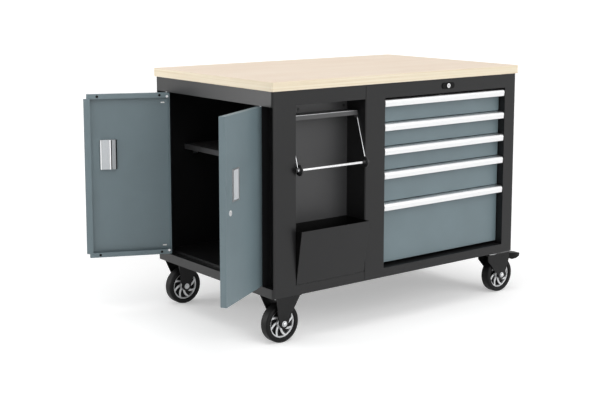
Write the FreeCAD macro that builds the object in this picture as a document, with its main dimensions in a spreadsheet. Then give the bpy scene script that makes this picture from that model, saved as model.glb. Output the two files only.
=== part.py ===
# Mobile workbench: a steel cabinet under a plywood worktop, with a double-door bay on the left
# end, a front recess that holds a paper rod and a bin, five drawers, two fixed and two swivel castors.
# Frame: origin on the floor under the middle of the cabinet, +X to the drawers' end, +Z up,
# and the drawers open towards -Y. Millimetres and degrees.
import FreeCAD, Part
import math
import os
import re
import Sketcher

doc = FreeCAD.newDocument("mobile_workbench")

dimensions = {
    # cabinet shells
    "cabinet_length": 1190, "cabinet_depth": 750, "cabinet_height": 710,
    "sheet": 1.5, "corner_radius": 12, "top_rail": 53, "bottom_rail": 33,
    "door_bay": 410, "base_plate": 2.5, "base_play": 0.5, "rib_spread": 420,
    # worktop
    "worktop_overhang": 5, "worktop_thickness": 32, "worktop_corner": 6, "worktop_edge": 1.5,
    # doors on the left end
    "door_post": 62, "jamb_return": 32, "door_thickness": 22, "door_lip": 18, "door_gap": 2.5,
    "hinge_gap": 3, "hinge_edge": 8, "hinge_inset": 5, "centre_gap": 3,
    "pin_radius": 2.6, "pin_fit": 0.05, "pin_grip": 10, "collar_radius": 4.2, "seat_play": 0.3,
    "front_door_angle": 121, "rear_door_angle": 114,
    "astragal_reach": 12, "astragal_trim": 16, "astragal_play": 0.6,
    # recessed door pulls and the door lock
    "pull_inset": 78, "pull_centre": 426, "pull_width": 56, "pull_height": 108, "pull_plate": 1.2,
    "pull_depth": 15, "pull_border": 4, "pull_slope": 17, "pull_wall": 1.2, "pull_lip": 12,
    "lock_inset": 33, "lock_centre": 340, "lock_radius": 8, "lock_head_radius": 9.5, "lock_head": 2.5,
    "cam_thickness": 2, "cam_width": 14, "cam_reach": 46, "cam_standoff": 3,
    "key_slot_width": 1.6, "key_slot_length": 10, "key_slot_depth": 1.6,
    # shelf behind the doors
    "shelf_setback": 125, "shelf_top": 440, "shelf_fold": 20, "shelf_play": 0.5,
    "clip_width": 20, "clip_reach": 14, "clip_height": 22, "clip_sheet": 2, "clip_inset": 40,
    # front recess, bin and paper holder
    "recess_stile": 97, "recess_rail": 51, "recess_depth": 100,
    "bin_play": 2, "bin_height": 192, "bin_flare": 31, "bin_sheet": 1.2,
    "rest_play": 0.3, "holder_play": 5.5, "holder_drop": 14, "holder_plate": 28, "holder_reach": 64,
    "holder_lip": 16,
    "ear_depth": 16, "ear_height": 26, "arm_radius": 1.7, "arm_eye": 4.2, "arm_play": 0.4,
    "pivot_radius": 2, "pivot_setback": 8, "rod_radius": 5, "rod_eye": 8, "rod_drop": 222,
    "cap_radius": 8, "cap_length": 6, "cap_overlap": 3, "disc_radius": 20, "disc_thickness": 5,
    # drawers
    "stile_left": 91, "stile_right": 63, "drawer_setback": 30, "front_thickness": 18,
    "drawer_side_gap": 3, "drawer_top_gap": 5.5, "drawer_gap": 2.5, "drawer_bottom_gap": 12,
    "shallow_front": 85.5, "middle_front": 114.5, "drawer_depth": 600, "tray_lift": 12, "tray_drop": 24,
    # drawer slides
    "slide_width": 13, "slide_height": 45, "rail_wall": 1.5, "slide_play": 0.6, "slide_lift": 2,
    "slide_gap": 1.2,
    # drawer handles
    "handle_height": 27, "handle_reach": 30, "handle_wall": 2.5, "handle_nose": 12, "handle_brow": 9,
    "handle_flange": 18, "handle_tuck": 1.5,
    # drawer lock
    "bezel_length": 64, "bezel_height": 24, "bezel_plate": 3, "bezel_collar": 11, "bezel_collar_length": 9,
    "drawer_lock_radius": 8.5, "drawer_lock_proud": 13, "drawer_lock_depth": 20, "drawer_cam_drop": 16,
    # castors
    "castor_height": 175, "castor_inset_x": 72, "castor_inset_y": 61, "wheel_radius": 70,
    "castor_plate": 4, "castor_plate_length": 108, "castor_plate_width": 85,
    "tyre_half": 20, "tyre_shoulder": 8, "rim_radius": 53, "web_half": 5, "hub_radius": 14, "hub_half": 24,
    "axle_radius": 6, "axle_fit": 0.05, "bolt_head_radius": 10, "bolt_head": 7,
    "cover_thickness": 9, "cover_play": 0.3, "vane_count": 8, "pocket_inner": 19, "pocket_outer": 47,
    "pocket_inner_arc": 10, "pocket_outer_arc": 30, "pocket_sweep": 24, "pocket_bow": 37,
    "leg_thickness": 4, "leg_play": 0.6, "foot_radius": 18, "bracket_top_half": 50,
    "trail": 50, "crown_radius": 32, "crown_height": 11, "crown_play": 0.5, "crown_plate": 4,
    "kingpin_radius": 7, "fork_back": 28, "fork_front": 72, "fork_shoulder": 20,
    # brake pedals
    "pedal_pivot_x": 52, "pedal_pivot_drop": 28, "pedal_pin_radius": 3, "pedal_play": 2, "pedal_tip": 121,
    "pedal_heel": 8, "pedal_rise": 7, "pedal_fall": 7, "pedal_nose": 4, "pedal_belly_x": 66,
    "pedal_belly": 18, "pedal_throat_x": 34, "pedal_throat": 4, "pedal_crest": 4,
}

formulas = {
    # cabinet
    "left": "-cabinet_length / 2",
    "right": "cabinet_length / 2",
    "front": "-cabinet_depth / 2",
    "back": "cabinet_depth / 2",
    "bottom": "castor_height",
    "top": "bottom + cabinet_height",
    "floor_top": "bottom + bottom_rail",
    "rail_under": "top - top_rail",
    "split": "left + door_bay",
    "inner_radius": "corner_radius - sheet",
    # doors, each in its own frame with the hinge pin at x = 0, y = 0
    "door_width": "(cabinet_depth - 2 * door_post - 2 * hinge_gap - centre_gap) / 2",
    "door_low": "floor_top + door_gap",
    "door_high": "rail_under - door_gap",
    "skin": "-hinge_inset",
    "door_inner": "door_thickness - hinge_inset",
    "free_side": "door_width - hinge_edge",
    "pin_x": "left + hinge_inset",
    "pin_y": "cabinet_depth / 2 - door_post - hinge_gap - hinge_edge",
    "pull_y": "free_side - pull_inset",
    "pull_z": "bottom + pull_centre",
    "pull_half": "pull_width / 2",
    "pull_rim": "pull_border + pull_wall",
    "lock_y": "free_side - lock_inset",
    "lock_z": "bottom + lock_centre",
    # recess
    "recess_left": "left + recess_stile",
    "recess_right": "split - 2 * sheet",
    "recess_back": "front + recess_depth",
    "recess_low": "floor_top + sheet",
    "recess_high": "top - recess_rail",
    "shelf_z": "bottom + shelf_top",
    "shelf_front": "left + shelf_setback",
    "shelf_near": "recess_back + sheet + shelf_play",
    "shelf_far": "back - sheet - shelf_play",
    "bin_back": "recess_back - bin_play",
    "bin_low": "recess_low + rest_play",
    "bin_toe": "front + rest_play",
    "bin_brow": "front - bin_flare",
    "bin_inner_brow": "bin_brow + bin_sheet",
    "bin_inner_toe": "bin_toe + bin_sheet",
    "bin_rim": "bin_low + bin_height",
    "bin_length": "recess_right - recess_left - 2 * bin_play",
    "holder_left": "recess_left + holder_play",
    "holder_right": "recess_right - holder_play",
    "holder_length": "holder_right - holder_left",
    "holder_top": "recess_high - holder_drop",
    "holder_shelf": "holder_top - holder_plate",
    "holder_nose": "recess_back - holder_reach",
    "pivot_y": "holder_nose + pivot_setback",
    "pivot_z": "holder_shelf - holder_lip + arm_eye",
    "rod_y": "front - cap_radius - rest_play",
    "rod_z": "recess_high - rod_drop",
    "arm_length": "sqrt((pivot_y - rod_y) ^ 2 + (pivot_z - rod_z) ^ 2)",
    # drawers
    "bay_left": "split + stile_left",
    "bay_right": "right - stile_right",
    "bay_middle": "(bay_left + bay_right) / 2",
    "face_left": "bay_left + drawer_side_gap",
    "face_right": "bay_right - drawer_side_gap",
    "face_length": "face_right - face_left",
    "face_front": "front + drawer_setback",
    "face_back": "face_front + front_thickness",
    "tray_left": "bay_left + slide_width",
    "tray_right": "bay_right - slide_width",
    "tray_back": "face_back + drawer_depth",
    "top_1": "rail_under - drawer_top_gap",
    "low_1": "top_1 - shallow_front",
    "top_2": "low_1 - drawer_gap",
    "low_2": "top_2 - shallow_front",
    "top_3": "low_2 - drawer_gap",
    "low_3": "top_3 - shallow_front",
    "top_4": "low_3 - drawer_gap",
    "low_4": "top_4 - middle_front",
    "top_5": "low_4 - drawer_gap",
    "low_5": "floor_top + drawer_bottom_gap",
    "bezel_half": "bezel_length / 2 - bezel_height / 2",
    "bezel_end": "bezel_height / 2",
    "bezel_z": "top - top_rail / 2",
    # castors
    "swivel_x": "right - castor_inset_x",
    "fixed_x": "left + castor_inset_x",
    "castor_y": "cabinet_depth / 2 - castor_inset_y",
    "plate_under": "bottom - castor_plate",
    "hub_bore": "axle_radius + axle_fit",
    "tyre_flank": "wheel_radius - tyre_shoulder",
    "tread_half": "tyre_half - tyre_shoulder",
    "tyre_bevel": "tyre_flank + tyre_shoulder * sqrt(0.5)",
    "bevel_half": "tread_half + tyre_shoulder * sqrt(0.5)",
    "leg_inner": "hub_half + leg_play",
    "leg_outer": "leg_inner + leg_thickness",
    "crown_top": "plate_under - crown_play",
    "crown_under": "crown_top - crown_height - crown_plate",
    "fork_corner": "crown_under - fork_shoulder",
    "trail_near": "trail - foot_radius",
    "trail_far": "trail + foot_radius",
    "foot_low": "wheel_radius - foot_radius",
    "cover_inner": "hub_radius + cover_play",
    "cover_outer": "rim_radius - cover_play",
    "pocket_b_u": "pocket_inner * cos(pocket_inner_arc * 1 deg)",
    "pocket_b_v": "pocket_inner * sin(pocket_inner_arc * 1 deg)",
    "pocket_c_u": "pocket_outer * cos((pocket_sweep + pocket_outer_arc) * 1 deg)",
    "pocket_c_v": "pocket_outer * sin((pocket_sweep + pocket_outer_arc) * 1 deg)",
    "pocket_d_u": "pocket_outer * cos(pocket_sweep * 1 deg)",
    "pocket_d_v": "pocket_outer * sin(pocket_sweep * 1 deg)",
    "pedal_x": "swivel_x + pedal_pivot_x",
    "pedal_z": "bottom - pedal_pivot_drop",
    "pedal_half": "leg_inner - pedal_play",
}

word = re.compile(r"[a-z][a-z_0-9]*")
nodes = {}


def named(text, own=""):
    """Write each size in a formula as a reference to its sheet, or bare inside its own sheet."""
    def reference(found):
        name = found.group()
        if name in dimensions:
            return "dims." + name
        if name in formulas:
            return name if own == "layout" else "layout." + name
        return name
    return word.sub(reference, str(text))


def fill(sheet, cells):
    for row, (alias, text) in enumerate(cells.items(), start=1):
        sheet.set(f"A{row}", alias)
        sheet.set(f"B{row}", str(text))
        sheet.setAlias(f"B{row}", alias)


dims = doc.addObject("Spreadsheet::Sheet", "dims")
fill(dims, dimensions)
doc.recompute()
layout = doc.addObject("Spreadsheet::Sheet", "layout")
fill(layout, {alias: "=" + named(text, "layout") for alias, text in formulas.items()})
doc.recompute()


def size(name):
    return float(getattr(dims if name in dimensions else layout, name))


def number(text):
    """The value of a sum of sizes, such as "left + sheet - 2"."""
    total = 0.0
    sign = 1
    for part in str(text).replace("(", " ").replace(")", " ").split():
        if part in "+-":
            sign = -sign if part == "-" else sign
            continue
        bare = part.lstrip("-")
        if len(bare) < len(part):
            sign = -sign
        total += sign * (size(bare) if word.fullmatch(bare) else float(bare))
        sign = 1
    return total


def bind(thing, prop, text):
    thing.setExpression(prop, named(text))


def place(thing, x="0", y="0", z="0"):
    for axis, text in zip("xyz", (x, y, z)):
        bind(thing, f"Placement.Base.{axis}", text)
    return thing


def box(label, x, y, z):
    """A block between two planes on each axis."""
    block = doc.addObject("Part::Box", label)
    for prop, (low, high) in zip(("Length", "Width", "Height"), (x, y, z)):
        bind(block, prop, f"({high}) - ({low})")
    return place(block, x[0], y[0], z[0])


def rod(label, axis, radius, span, first, second):
    """A cylinder along an axis, from span[0] to span[1]; first and second are its other two places."""
    round_bar = doc.addObject("Part::Cylinder", label)
    bind(round_bar, "Radius", radius)
    bind(round_bar, "Height", f"({span[1]}) - ({span[0]})")
    turn = {"x": FreeCAD.Rotation(FreeCAD.Vector(0, 1, 0), 90),
            "y": FreeCAD.Rotation(FreeCAD.Vector(1, 0, 0), -90),
            "z": FreeCAD.Rotation()}
    round_bar.Placement = FreeCAD.Placement(FreeCAD.Vector(), turn[axis])
    spots = {"x": (span[0], first, second), "y": (first, span[0], second), "z": (first, second, span[0])}
    return place(round_bar, *spots[axis])


def fuse(label, *shapes):
    joined = doc.addObject("Part::MultiFuse", label)
    joined.Shapes = list(shapes)
    joined.Refine = True
    return joined


def cut(label, base, *tools):
    result = doc.addObject("Part::Cut", label)
    result.Base = base
    result.Tool = tools[0] if len(tools) == 1 else fuse(label + "_tools", *tools)
    result.Refine = True
    return result


def group(label, *shapes):
    gathered = doc.addObject("Part::Compound", label)
    gathered.Links = list(shapes)
    return gathered


def copy(label, source, x="0", y="0", z="0", turned=False):
    """The same piece at another place, turned half round about Z if asked."""
    twin = group(label, source)
    if turned:
        twin.Placement = FreeCAD.Placement(FreeCAD.Vector(), FreeCAD.Rotation(FreeCAD.Vector(0, 0, 1), 180))
    return place(twin, x, y, z)


def node(label, shape):
    shape.Label = label
    nodes[label] = shape
    return shape


def rounded(label, block, radius, corners):
    """Round those upright edges of a block whose (x, y) is in corners."""
    doc.recompute([block])
    spots = [FreeCAD.Vector(number(x), number(y), 0) for x, y in corners]
    edges = []
    for index, edge in enumerate(block.Shape.Edges, start=1):
        first, last = (v.Point for v in edge.Vertexes)
        foot = FreeCAD.Vector(first.x, first.y, 0)
        upright = abs(first.z - last.z) > 0.1
        if upright and any((foot - spot).Length < 0.01 for spot in spots):
            edges.append((index, size(radius), size(radius)))
    soft = doc.addObject("Part::Fillet", label)
    soft.Base = block
    soft.Edges = edges
    return soft


def body_sketch(label, plane):
    body = doc.addObject("PartDesign::Body", label)
    sketch = body.newObject("Sketcher::SketchObject", label + "_sketch")
    support = next(p for p in body.Origin.OriginFeatures if p.Role == plane)
    sketch.AttachmentSupport = [(support, "")]
    sketch.MapMode = "FlatFace"
    return body, sketch


def hold(sketch, kind, *where):
    """Add a constraint, tied to the sheet where its last value is text."""
    text = where[-1]
    index = sketch.addConstraint(Sketcher.Constraint(kind, *where[:-1], number(text)))
    bind(sketch, f"Constraints[{index}]", text)


def arc_between(first, last, radius):
    """An arc from first to last, with its centre on the left for a positive radius."""
    chord = last - first
    half = chord.Length / 2
    reach = math.sqrt(max(radius * radius - half * half, 0.0))
    side = FreeCAD.Vector(-chord.y, chord.x, 0).normalize()
    centre = (first + last) * 0.5 + side * (reach if radius > 0 else -reach)
    low, high = (first, last) if radius > 0 else (last, first)
    angles = [math.atan2(p.y - centre.y, p.x - centre.x) for p in (low, high)]
    circle = Part.Circle(centre, FreeCAD.Vector(0, 0, 1), abs(radius))
    return Part.ArcOfCircle(circle, *angles)


def outline(sketch, points):
    """A closed outline. Each point is (u, v), or (u, v, radius, side) where an arc leaves it."""
    spots = [FreeCAD.Vector(number(p[0]), number(p[1]), 0) for p in points]
    ends = []
    for index, point in enumerate(points):
        first, last = spots[index], spots[(index + 1) % len(spots)]
        if len(point) > 2:
            left = point[3] == "left"
            edge = sketch.addGeometry(arc_between(first, last, size(point[2]) * (1 if left else -1)))
            ends.append((edge, 1, 2) if left else (edge, 2, 1))
        else:
            edge = sketch.addGeometry(Part.LineSegment(first, last))
            ends.append((edge, 1, 2))
    for index, (edge, start, finish) in enumerate(ends):
        following, start_next, _ = ends[(index + 1) % len(ends)]
        sketch.addConstraint(Sketcher.Constraint("Coincident", edge, finish, following, start_next))
    for (edge, start, _), point in zip(ends, points):
        hold(sketch, "DistanceX", -1, 1, edge, start, point[0])
        hold(sketch, "DistanceY", -1, 1, edge, start, point[1])
        if len(point) > 2:
            hold(sketch, "Radius", edge, point[2])


def pad(label, plane, points, length):
    """An outline on a plane through the origin, drawn out along the plane's normal."""
    body, sketch = body_sketch(label, plane)
    outline(sketch, points)
    block = body.newObject("PartDesign::Pad", label + "_pad")
    block.Profile = sketch
    bind(block, "Length", length)
    return body


def revolve(label, points):
    """An outline of (radius, y) points turned about the Y axis."""
    body, sketch = body_sketch(label, "XY_Plane")
    outline(sketch, points)
    turned = body.newObject("PartDesign::Revolution", label + "_turned")
    turned.Profile = sketch
    turned.ReferenceAxis = (sketch, ["V_Axis"])
    turned.Angle = 360
    return body


def mirrored(side, low, high):
    """A stretch along Y in a door's frame: the rear door is the front one mirrored."""
    return (low, high) if side > 0 else (f"-({high})", f"-({low})")


# Worktop: a plywood slab that overhangs the cabinet by the same lip on every side
def make_worktop():
    x = ("left - worktop_overhang", "right + worktop_overhang")
    y = ("front - worktop_overhang", "back + worktop_overhang")
    slab = box("worktop_slab", x, y, ("top", "top + worktop_thickness"))
    corners = [(a, b) for a in x for b in y]
    round_slab = rounded("worktop_rounded", slab, "worktop_corner", corners)
    doc.recompute()
    eased = doc.addObject("Part::Chamfer", "worktop")
    eased.Base = round_slab
    high = round_slab.Shape.BoundBox.ZMax
    edge = size("worktop_edge")
    eased.Edges = [(i, edge, edge) for i, e in enumerate(round_slab.Shape.Edges, start=1)
                   if min(v.Point.z for v in e.Vertexes) > high - 0.01]
    node("worktop", eased)


# Cabinet modules: sheets welded edge to edge, with round corners at the outer end and a floor above the base
def corner(label, x, y, start):
    """A quarter of an upright tube; start is the direction in which its sweep begins."""
    tube = rod(label + "_outside", "z", "corner_radius", ("bottom", "top"), x, y)
    tube.Angle = 90
    tube.Placement = FreeCAD.Placement(tube.Placement.Base, FreeCAD.Rotation(FreeCAD.Vector(0, 0, 1), start))
    return cut(label, tube, rod(label + "_inside", "z", "inner_radius", ("bottom", "top"), x, y))


def make_module(label, x, low_end):
    """The sheets that both modules have. low_end says that the round outer end is the one of low x."""
    sign, back_sign = ("+", "-") if low_end else ("-", "+")
    outer, inner = x if low_end else x[::-1]
    bend = f"{outer} {sign} corner_radius"
    outer_face = f"{outer} {sign} sheet"
    inner_face = f"{inner} {back_sign} sheet"

    def run(first, last):
        return (first, last) if low_end else (last, first)

    inside_y = ("front + sheet", "back - sheet")
    bends = [(outer_face, y) for y in inside_y]
    sheets = [corner(f"{label}_front_corner", bend, "front + corner_radius", 180 if low_end else 270),
              corner(f"{label}_rear_corner", bend, "back - corner_radius", 90 if low_end else 0),
              box(f"{label}_back", run(bend, inner), ("back - sheet", "back"), ("bottom", "top")),
              box(f"{label}_partition", run(inner_face, inner), inside_y, ("floor_top - sheet", "top"))]
    for name, level in (("floor", "floor_top"), ("top", "top")):
        flat = box(f"{label}_{name}_blank", run(outer_face, inner_face), inside_y,
                   (f"{level} - sheet", level))
        sheets.append(rounded(f"{label}_{name}", flat, "inner_radius", bends))
    return sheets


def make_door_cabinet():
    sheets = make_module("door_cabinet", ("left", "split"), True)
    end_x = ("left", "left + sheet")
    front_y = ("front", "front + sheet")
    height = ("bottom", "top")
    doorway = ("front + door_post", "back - door_post")
    between = ("floor_top", "rail_under")
    sheets += [
        box("front_post", end_x, ("front + corner_radius", doorway[0]), height),
        box("rear_post", end_x, (doorway[1], "back - corner_radius"), height),
        box("door_sill", end_x, doorway, ("bottom", "floor_top")),
        box("door_rail", end_x, doorway, ("rail_under", "top")),
        box("recess_stile_sheet", ("left + corner_radius", "recess_left"), front_y, height),
        box("recess_sill", ("recess_left", "split"), front_y, ("bottom", "recess_low")),
        box("recess_rail_sheet", ("recess_left", "split"), front_y, ("recess_high", "top")),
        box("recess_edge", ("recess_right", "split"), front_y, ("recess_low", "recess_high"))]
    jamb_x = ("left + sheet", "left + jamb_return")
    sheets += [
        box("front_jamb", jamb_x, ("front + door_post - sheet", doorway[0]), between),
        box("rear_jamb", jamb_x, (doorway[1], "back - door_post + sheet"), between),
        box("door_head", jamb_x, ("front + door_post - sheet", "back - door_post + sheet"),
            ("rail_under", "rail_under + sheet"))]
    node("door_cabinet", group("door_cabinet", *sheets))

    pan = box("liner_pan", ("recess_left - sheet", "recess_right + sheet"),
              ("front + sheet", "recess_back + sheet"), ("recess_low - sheet", "recess_high + sheet"))
    space = box("liner_space", ("recess_left", "recess_right"), ("front", "recess_back"),
                ("recess_low", "recess_high"))
    node("recess_liner", cut("recess_liner", pan, space))


def make_drawer_cabinet():
    sheets = make_module("drawer_cabinet", ("split", "right"), False)
    front_y = ("front", "front + sheet")
    height = ("bottom", "top")
    mouth = ("bay_left", "bay_right")
    rail = box("drawer_rail_blank", mouth, front_y, ("rail_under", "top"))
    keyway = rod("drawer_lock_hole", "y", "drawer_lock_radius + 1", ("front - sheet", "front + 2 * sheet"),
                 "bay_middle", "bezel_z")
    sheets += [
        box("right_end", ("right - sheet", "right"),
            ("front + corner_radius", "back - corner_radius"), height),
        box("drawer_left_stile", ("split", "bay_left"), front_y, height),
        box("drawer_right_stile", ("bay_right", "right - corner_radius"), front_y, height),
        box("drawer_sill", mouth, front_y, ("bottom", "floor_top")),
        cut("drawer_rail", rail, keyway)]
    node("drawer_cabinet", group("drawer_cabinet", *sheets))
    run = (("front + sheet", "back - sheet"), ("floor_top", "top - sheet"))
    node("drawer_side_panels", group(
        "drawer_side_panels",
        box("left_side_panel", ("bay_left - sheet", "bay_left"), *run),
        box("right_side_panel", ("bay_right", "bay_right + sheet"), *run)))


# Base tray: a folded pan with two stiffening ribs, closed above by the cabinet floors
def make_base():
    x = ("left + sheet + base_play", "right - sheet - base_play")
    y = ("front + sheet + base_play", "back - sheet - base_play")
    height = ("bottom", "floor_top - sheet")
    corners = [(a, b) for a in x for b in y]
    pan = rounded("base_outer", box("base_block", x, y, height), "corner_radius", corners)
    inside_x = (f"{x[0]} + base_plate", f"{x[1]} - base_plate")
    inside_y = (f"{y[0]} + base_plate", f"{y[1]} - base_plate")
    block = box("base_space_block", inside_x, inside_y, ("bottom + base_plate", "floor_top"))
    space = rounded("base_space", block, "inner_radius", [(a, b) for a in inside_x for b in inside_y])
    ribs = [box(f"base_rib_{name}", x, (f"{spot} - base_plate / 2", f"{spot} + base_plate / 2"), height)
            for name, spot in (("near", "-rib_spread / 2"), ("far", "rib_spread / 2"))]
    node("base_tray", fuse("base_tray", cut("base_pan", pan, space), *ribs))


# Shelf: a tray turned down at its edges, on four clips
def make_shelf():
    x = ("shelf_front", "split - sheet - shelf_play")
    y = ("shelf_near", "shelf_far")
    slab = box("shelf_block", x, y, ("shelf_z - shelf_fold", "shelf_z"))
    hollow = box("shelf_hollow", (f"{x[0]} + sheet", f"{x[1]} - sheet"),
                 (f"{y[0]} + sheet", f"{y[1]} - sheet"), ("shelf_z - shelf_fold - sheet", "shelf_z - sheet"))
    node("shelf", cut("shelf", slab, hollow))
    seat = "shelf_z - shelf_fold"
    clips = []
    ends = (("near", "shelf_front + clip_inset"), ("far", "split - sheet - clip_inset - clip_width"))
    for end, along in ends:
        x = (along, f"{along} + clip_width")
        for wall, face, out in (("liner", "shelf_near - shelf_play", 1), ("back", "back - sheet", -1)):
            ledge = [f"{face} + {t}" for t in mirrored(out, "0", "clip_reach")]
            flange = [f"{face} + {t}" for t in mirrored(out, "0", "clip_sheet")]
            tread = box(f"clip_tread_{end}_{wall}", x, ledge, (f"{seat} - clip_sheet", seat))
            leg = box(f"clip_leg_{end}_{wall}", x, flange, (f"{seat} - clip_height", seat))
            clips.append(fuse(f"clip_{end}_{wall}", tread, leg))
    node("shelf_clips", group("shelf_clips", *clips))


# Doors: folded pans with lips along the top and bottom, swung about pins in the rails
def swing(thing, side):
    """Put a piece that is drawn in a door's frame on its hinge pin, at the door's open angle."""
    thing.Placement = FreeCAD.Placement(FreeCAD.Vector(), FreeCAD.Rotation(FreeCAD.Vector(0, 0, 1), 1))
    bind(thing, "Placement.Rotation.Angle", "front_door_angle" if side > 0 else "-rear_door_angle")
    return place(thing, "pin_x", "-pin_y" if side > 0 else "pin_y", "0")


def make_pull(name, side):
    """A recessed pull: a plate on the skin, with a scoop behind it that slopes in from the hinge side."""

    def scoop(label, border, depth, height):
        low, high = f"- pull_half + {border}", f"pull_half - {border}"
        upright, far = (high, low) if side > 0 else (low, high)
        near = f"{far} + pull_slope" if side > 0 else f"{far} - pull_slope"
        body = pad(label, "XY_Plane", [("0", upright), (depth, upright), (depth, near), ("0", far)], height)
        return place(body, "skin", "pull_y" if side > 0 else "-pull_y", f"pull_z - ({height}) / 2")

    shell = scoop(f"{name}_shell", "pull_border", "pull_depth", "pull_height - 2 * pull_border")
    hollow = scoop(f"{name}_hollow", "pull_rim", "pull_depth - pull_wall", "pull_height - 2 * pull_rim")
    plate = box(f"{name}_plate", ("skin - pull_plate", "skin"),
                mirrored(side, "pull_y - pull_half", "pull_y + pull_half"),
                ("pull_z - pull_height / 2", "pull_z + pull_height / 2"))
    mouth = box(f"{name}_mouth", ("skin - 2 * pull_plate", "skin"),
                mirrored(side, "pull_y - pull_half + pull_rim", "pull_y + pull_half - pull_lip"),
                ("pull_z - pull_height / 2 + pull_rim", "pull_z + pull_height / 2 - pull_rim"))
    cup = cut(f"{name}_cup", shell, hollow)
    node(name, swing(cut(name, fuse(f"{name}_blank", plate, cup), mouth), side))


def make_door(name, side):
    across = mirrored(side, "-hinge_edge", "free_side")
    inside = mirrored(side, "-hinge_edge + sheet", "free_side - sheet")
    tall = ("door_low", "door_high")
    blank = box(f"{name}_blank", ("skin", "door_inner"), across, tall)
    window = box(f"{name}_window", ("skin + sheet", "door_inner + sheet"), inside,
                 ("door_low + door_lip", "door_high - door_lip"))
    pocket = box(f"{name}_pocket", ("skin + sheet", "door_inner - sheet"), inside,
                 ("door_low + sheet", "door_high - sheet"))
    pull_hole = box(f"{name}_pull_hole", ("skin - sheet", "skin + 2 * sheet"),
                    mirrored(side, "pull_y - pull_half + pull_border - rest_play",
                             "pull_y + pull_half - pull_border + rest_play"),
                    ("pull_z - pull_height / 2 + pull_border - rest_play",
                     "pull_z + pull_height / 2 - pull_border + rest_play"))
    bores = rod(f"{name}_bores", "z", "pin_radius + pin_fit", ("door_low - sheet", "door_high + sheet"),
                "0", "0")
    if side > 0:
        lock_hole = rod(f"{name}_lock_hole", "x", "lock_radius + pin_fit",
                        ("skin - sheet", "skin + 2 * sheet"), "lock_y", "lock_z")
        node(name, swing(cut(name, blank, window, pocket, pull_hole, bores, lock_hole), side))
        return
    panel = cut(f"{name}_panel", blank, window, pocket, pull_hole, bores)
    upright = ("door_low + astragal_trim", "door_high - astragal_trim")
    root = box(f"{name}_astragal_root", ("door_inner - sheet", "door_inner + astragal_play + sheet"),
               mirrored(side, "free_side - astragal_reach", "free_side"), upright)
    strip = box(f"{name}_astragal_strip",
                ("door_inner + astragal_play", "door_inner + astragal_play + sheet"),
                mirrored(side, "free_side - astragal_reach", "free_side + astragal_reach"), upright)
    node(name, swing(fuse(name, panel, root, strip), side))


def make_door_lock():
    """A quarter-turn lock: its cam hangs down while the door is open."""
    face = "skin - rest_play"
    head = rod("lock_head", "x", "lock_head_radius", (f"{face} - lock_head", face), "lock_y", "lock_z")
    stem = rod("lock_stem", "x", "lock_radius", (face, "door_inner + cam_standoff"), "lock_y", "lock_z")
    keyway = box("lock_keyway", (f"{face} - 2 * lock_head", f"{face} - lock_head + key_slot_depth"),
                 ("lock_y - key_slot_width / 2", "lock_y + key_slot_width / 2"),
                 ("lock_z - key_slot_length / 2", "lock_z + key_slot_length / 2"))
    node("door_lock_barrel", swing(cut("door_lock_barrel", fuse("lock_turned", head, stem), keyway), 1))
    blade = box("lock_blade", ("door_inner + cam_standoff", "door_inner + cam_standoff + cam_thickness"),
                ("lock_y - cam_width / 2", "lock_y + cam_width / 2"),
                ("lock_z - cam_reach", "lock_z + cam_width / 2"))
    node("door_lock_cam", swing(group("door_lock_cam", blade), 1))


def make_hinge_pins():
    pins = []
    for end, y in (("front", "-pin_y"), ("rear", "pin_y")):
        spot = ("pin_x", y)
        foot = rod(f"{end}_foot_pin", "z", "pin_radius", ("floor_top", "door_low + sheet + pin_grip"), *spot)
        washer = rod(f"{end}_washer", "z", "collar_radius", ("floor_top", "door_low - seat_play"), *spot)
        head = rod(f"{end}_head_pin", "z", "pin_radius",
                   ("door_high - sheet - pin_grip", "rail_under"), *spot)
        spacer = rod(f"{end}_spacer", "z", "collar_radius", ("door_high + seat_play", "rail_under"), *spot)
        pins += [fuse(f"{end}_lower_pin", foot, washer), fuse(f"{end}_upper_pin", head, spacer)]
    node("door_hinge_pins", group("door_hinge_pins", *pins))


# Bin: a flared sheet bin that stands on the recess floor
def make_bin():
    outside = [("bin_toe", "bin_low"), ("bin_back", "bin_low"),
               ("bin_back", "bin_rim"), ("bin_brow", "bin_rim")]
    inside = [("bin_inner_toe", "bin_low + bin_sheet"), ("bin_back - bin_sheet", "bin_low + bin_sheet"),
              ("bin_back - bin_sheet", "bin_rim + bin_sheet"), ("bin_inner_brow", "bin_rim + bin_sheet")]
    block = place(pad("bin_block", "YZ_Plane", outside, "bin_length"), "recess_left + bin_play")
    space = place(pad("bin_space", "YZ_Plane", inside, "bin_length - 2 * bin_sheet"),
                  "recess_left + bin_play + bin_sheet")
    node("bin", cut("bin", block, space))


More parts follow.
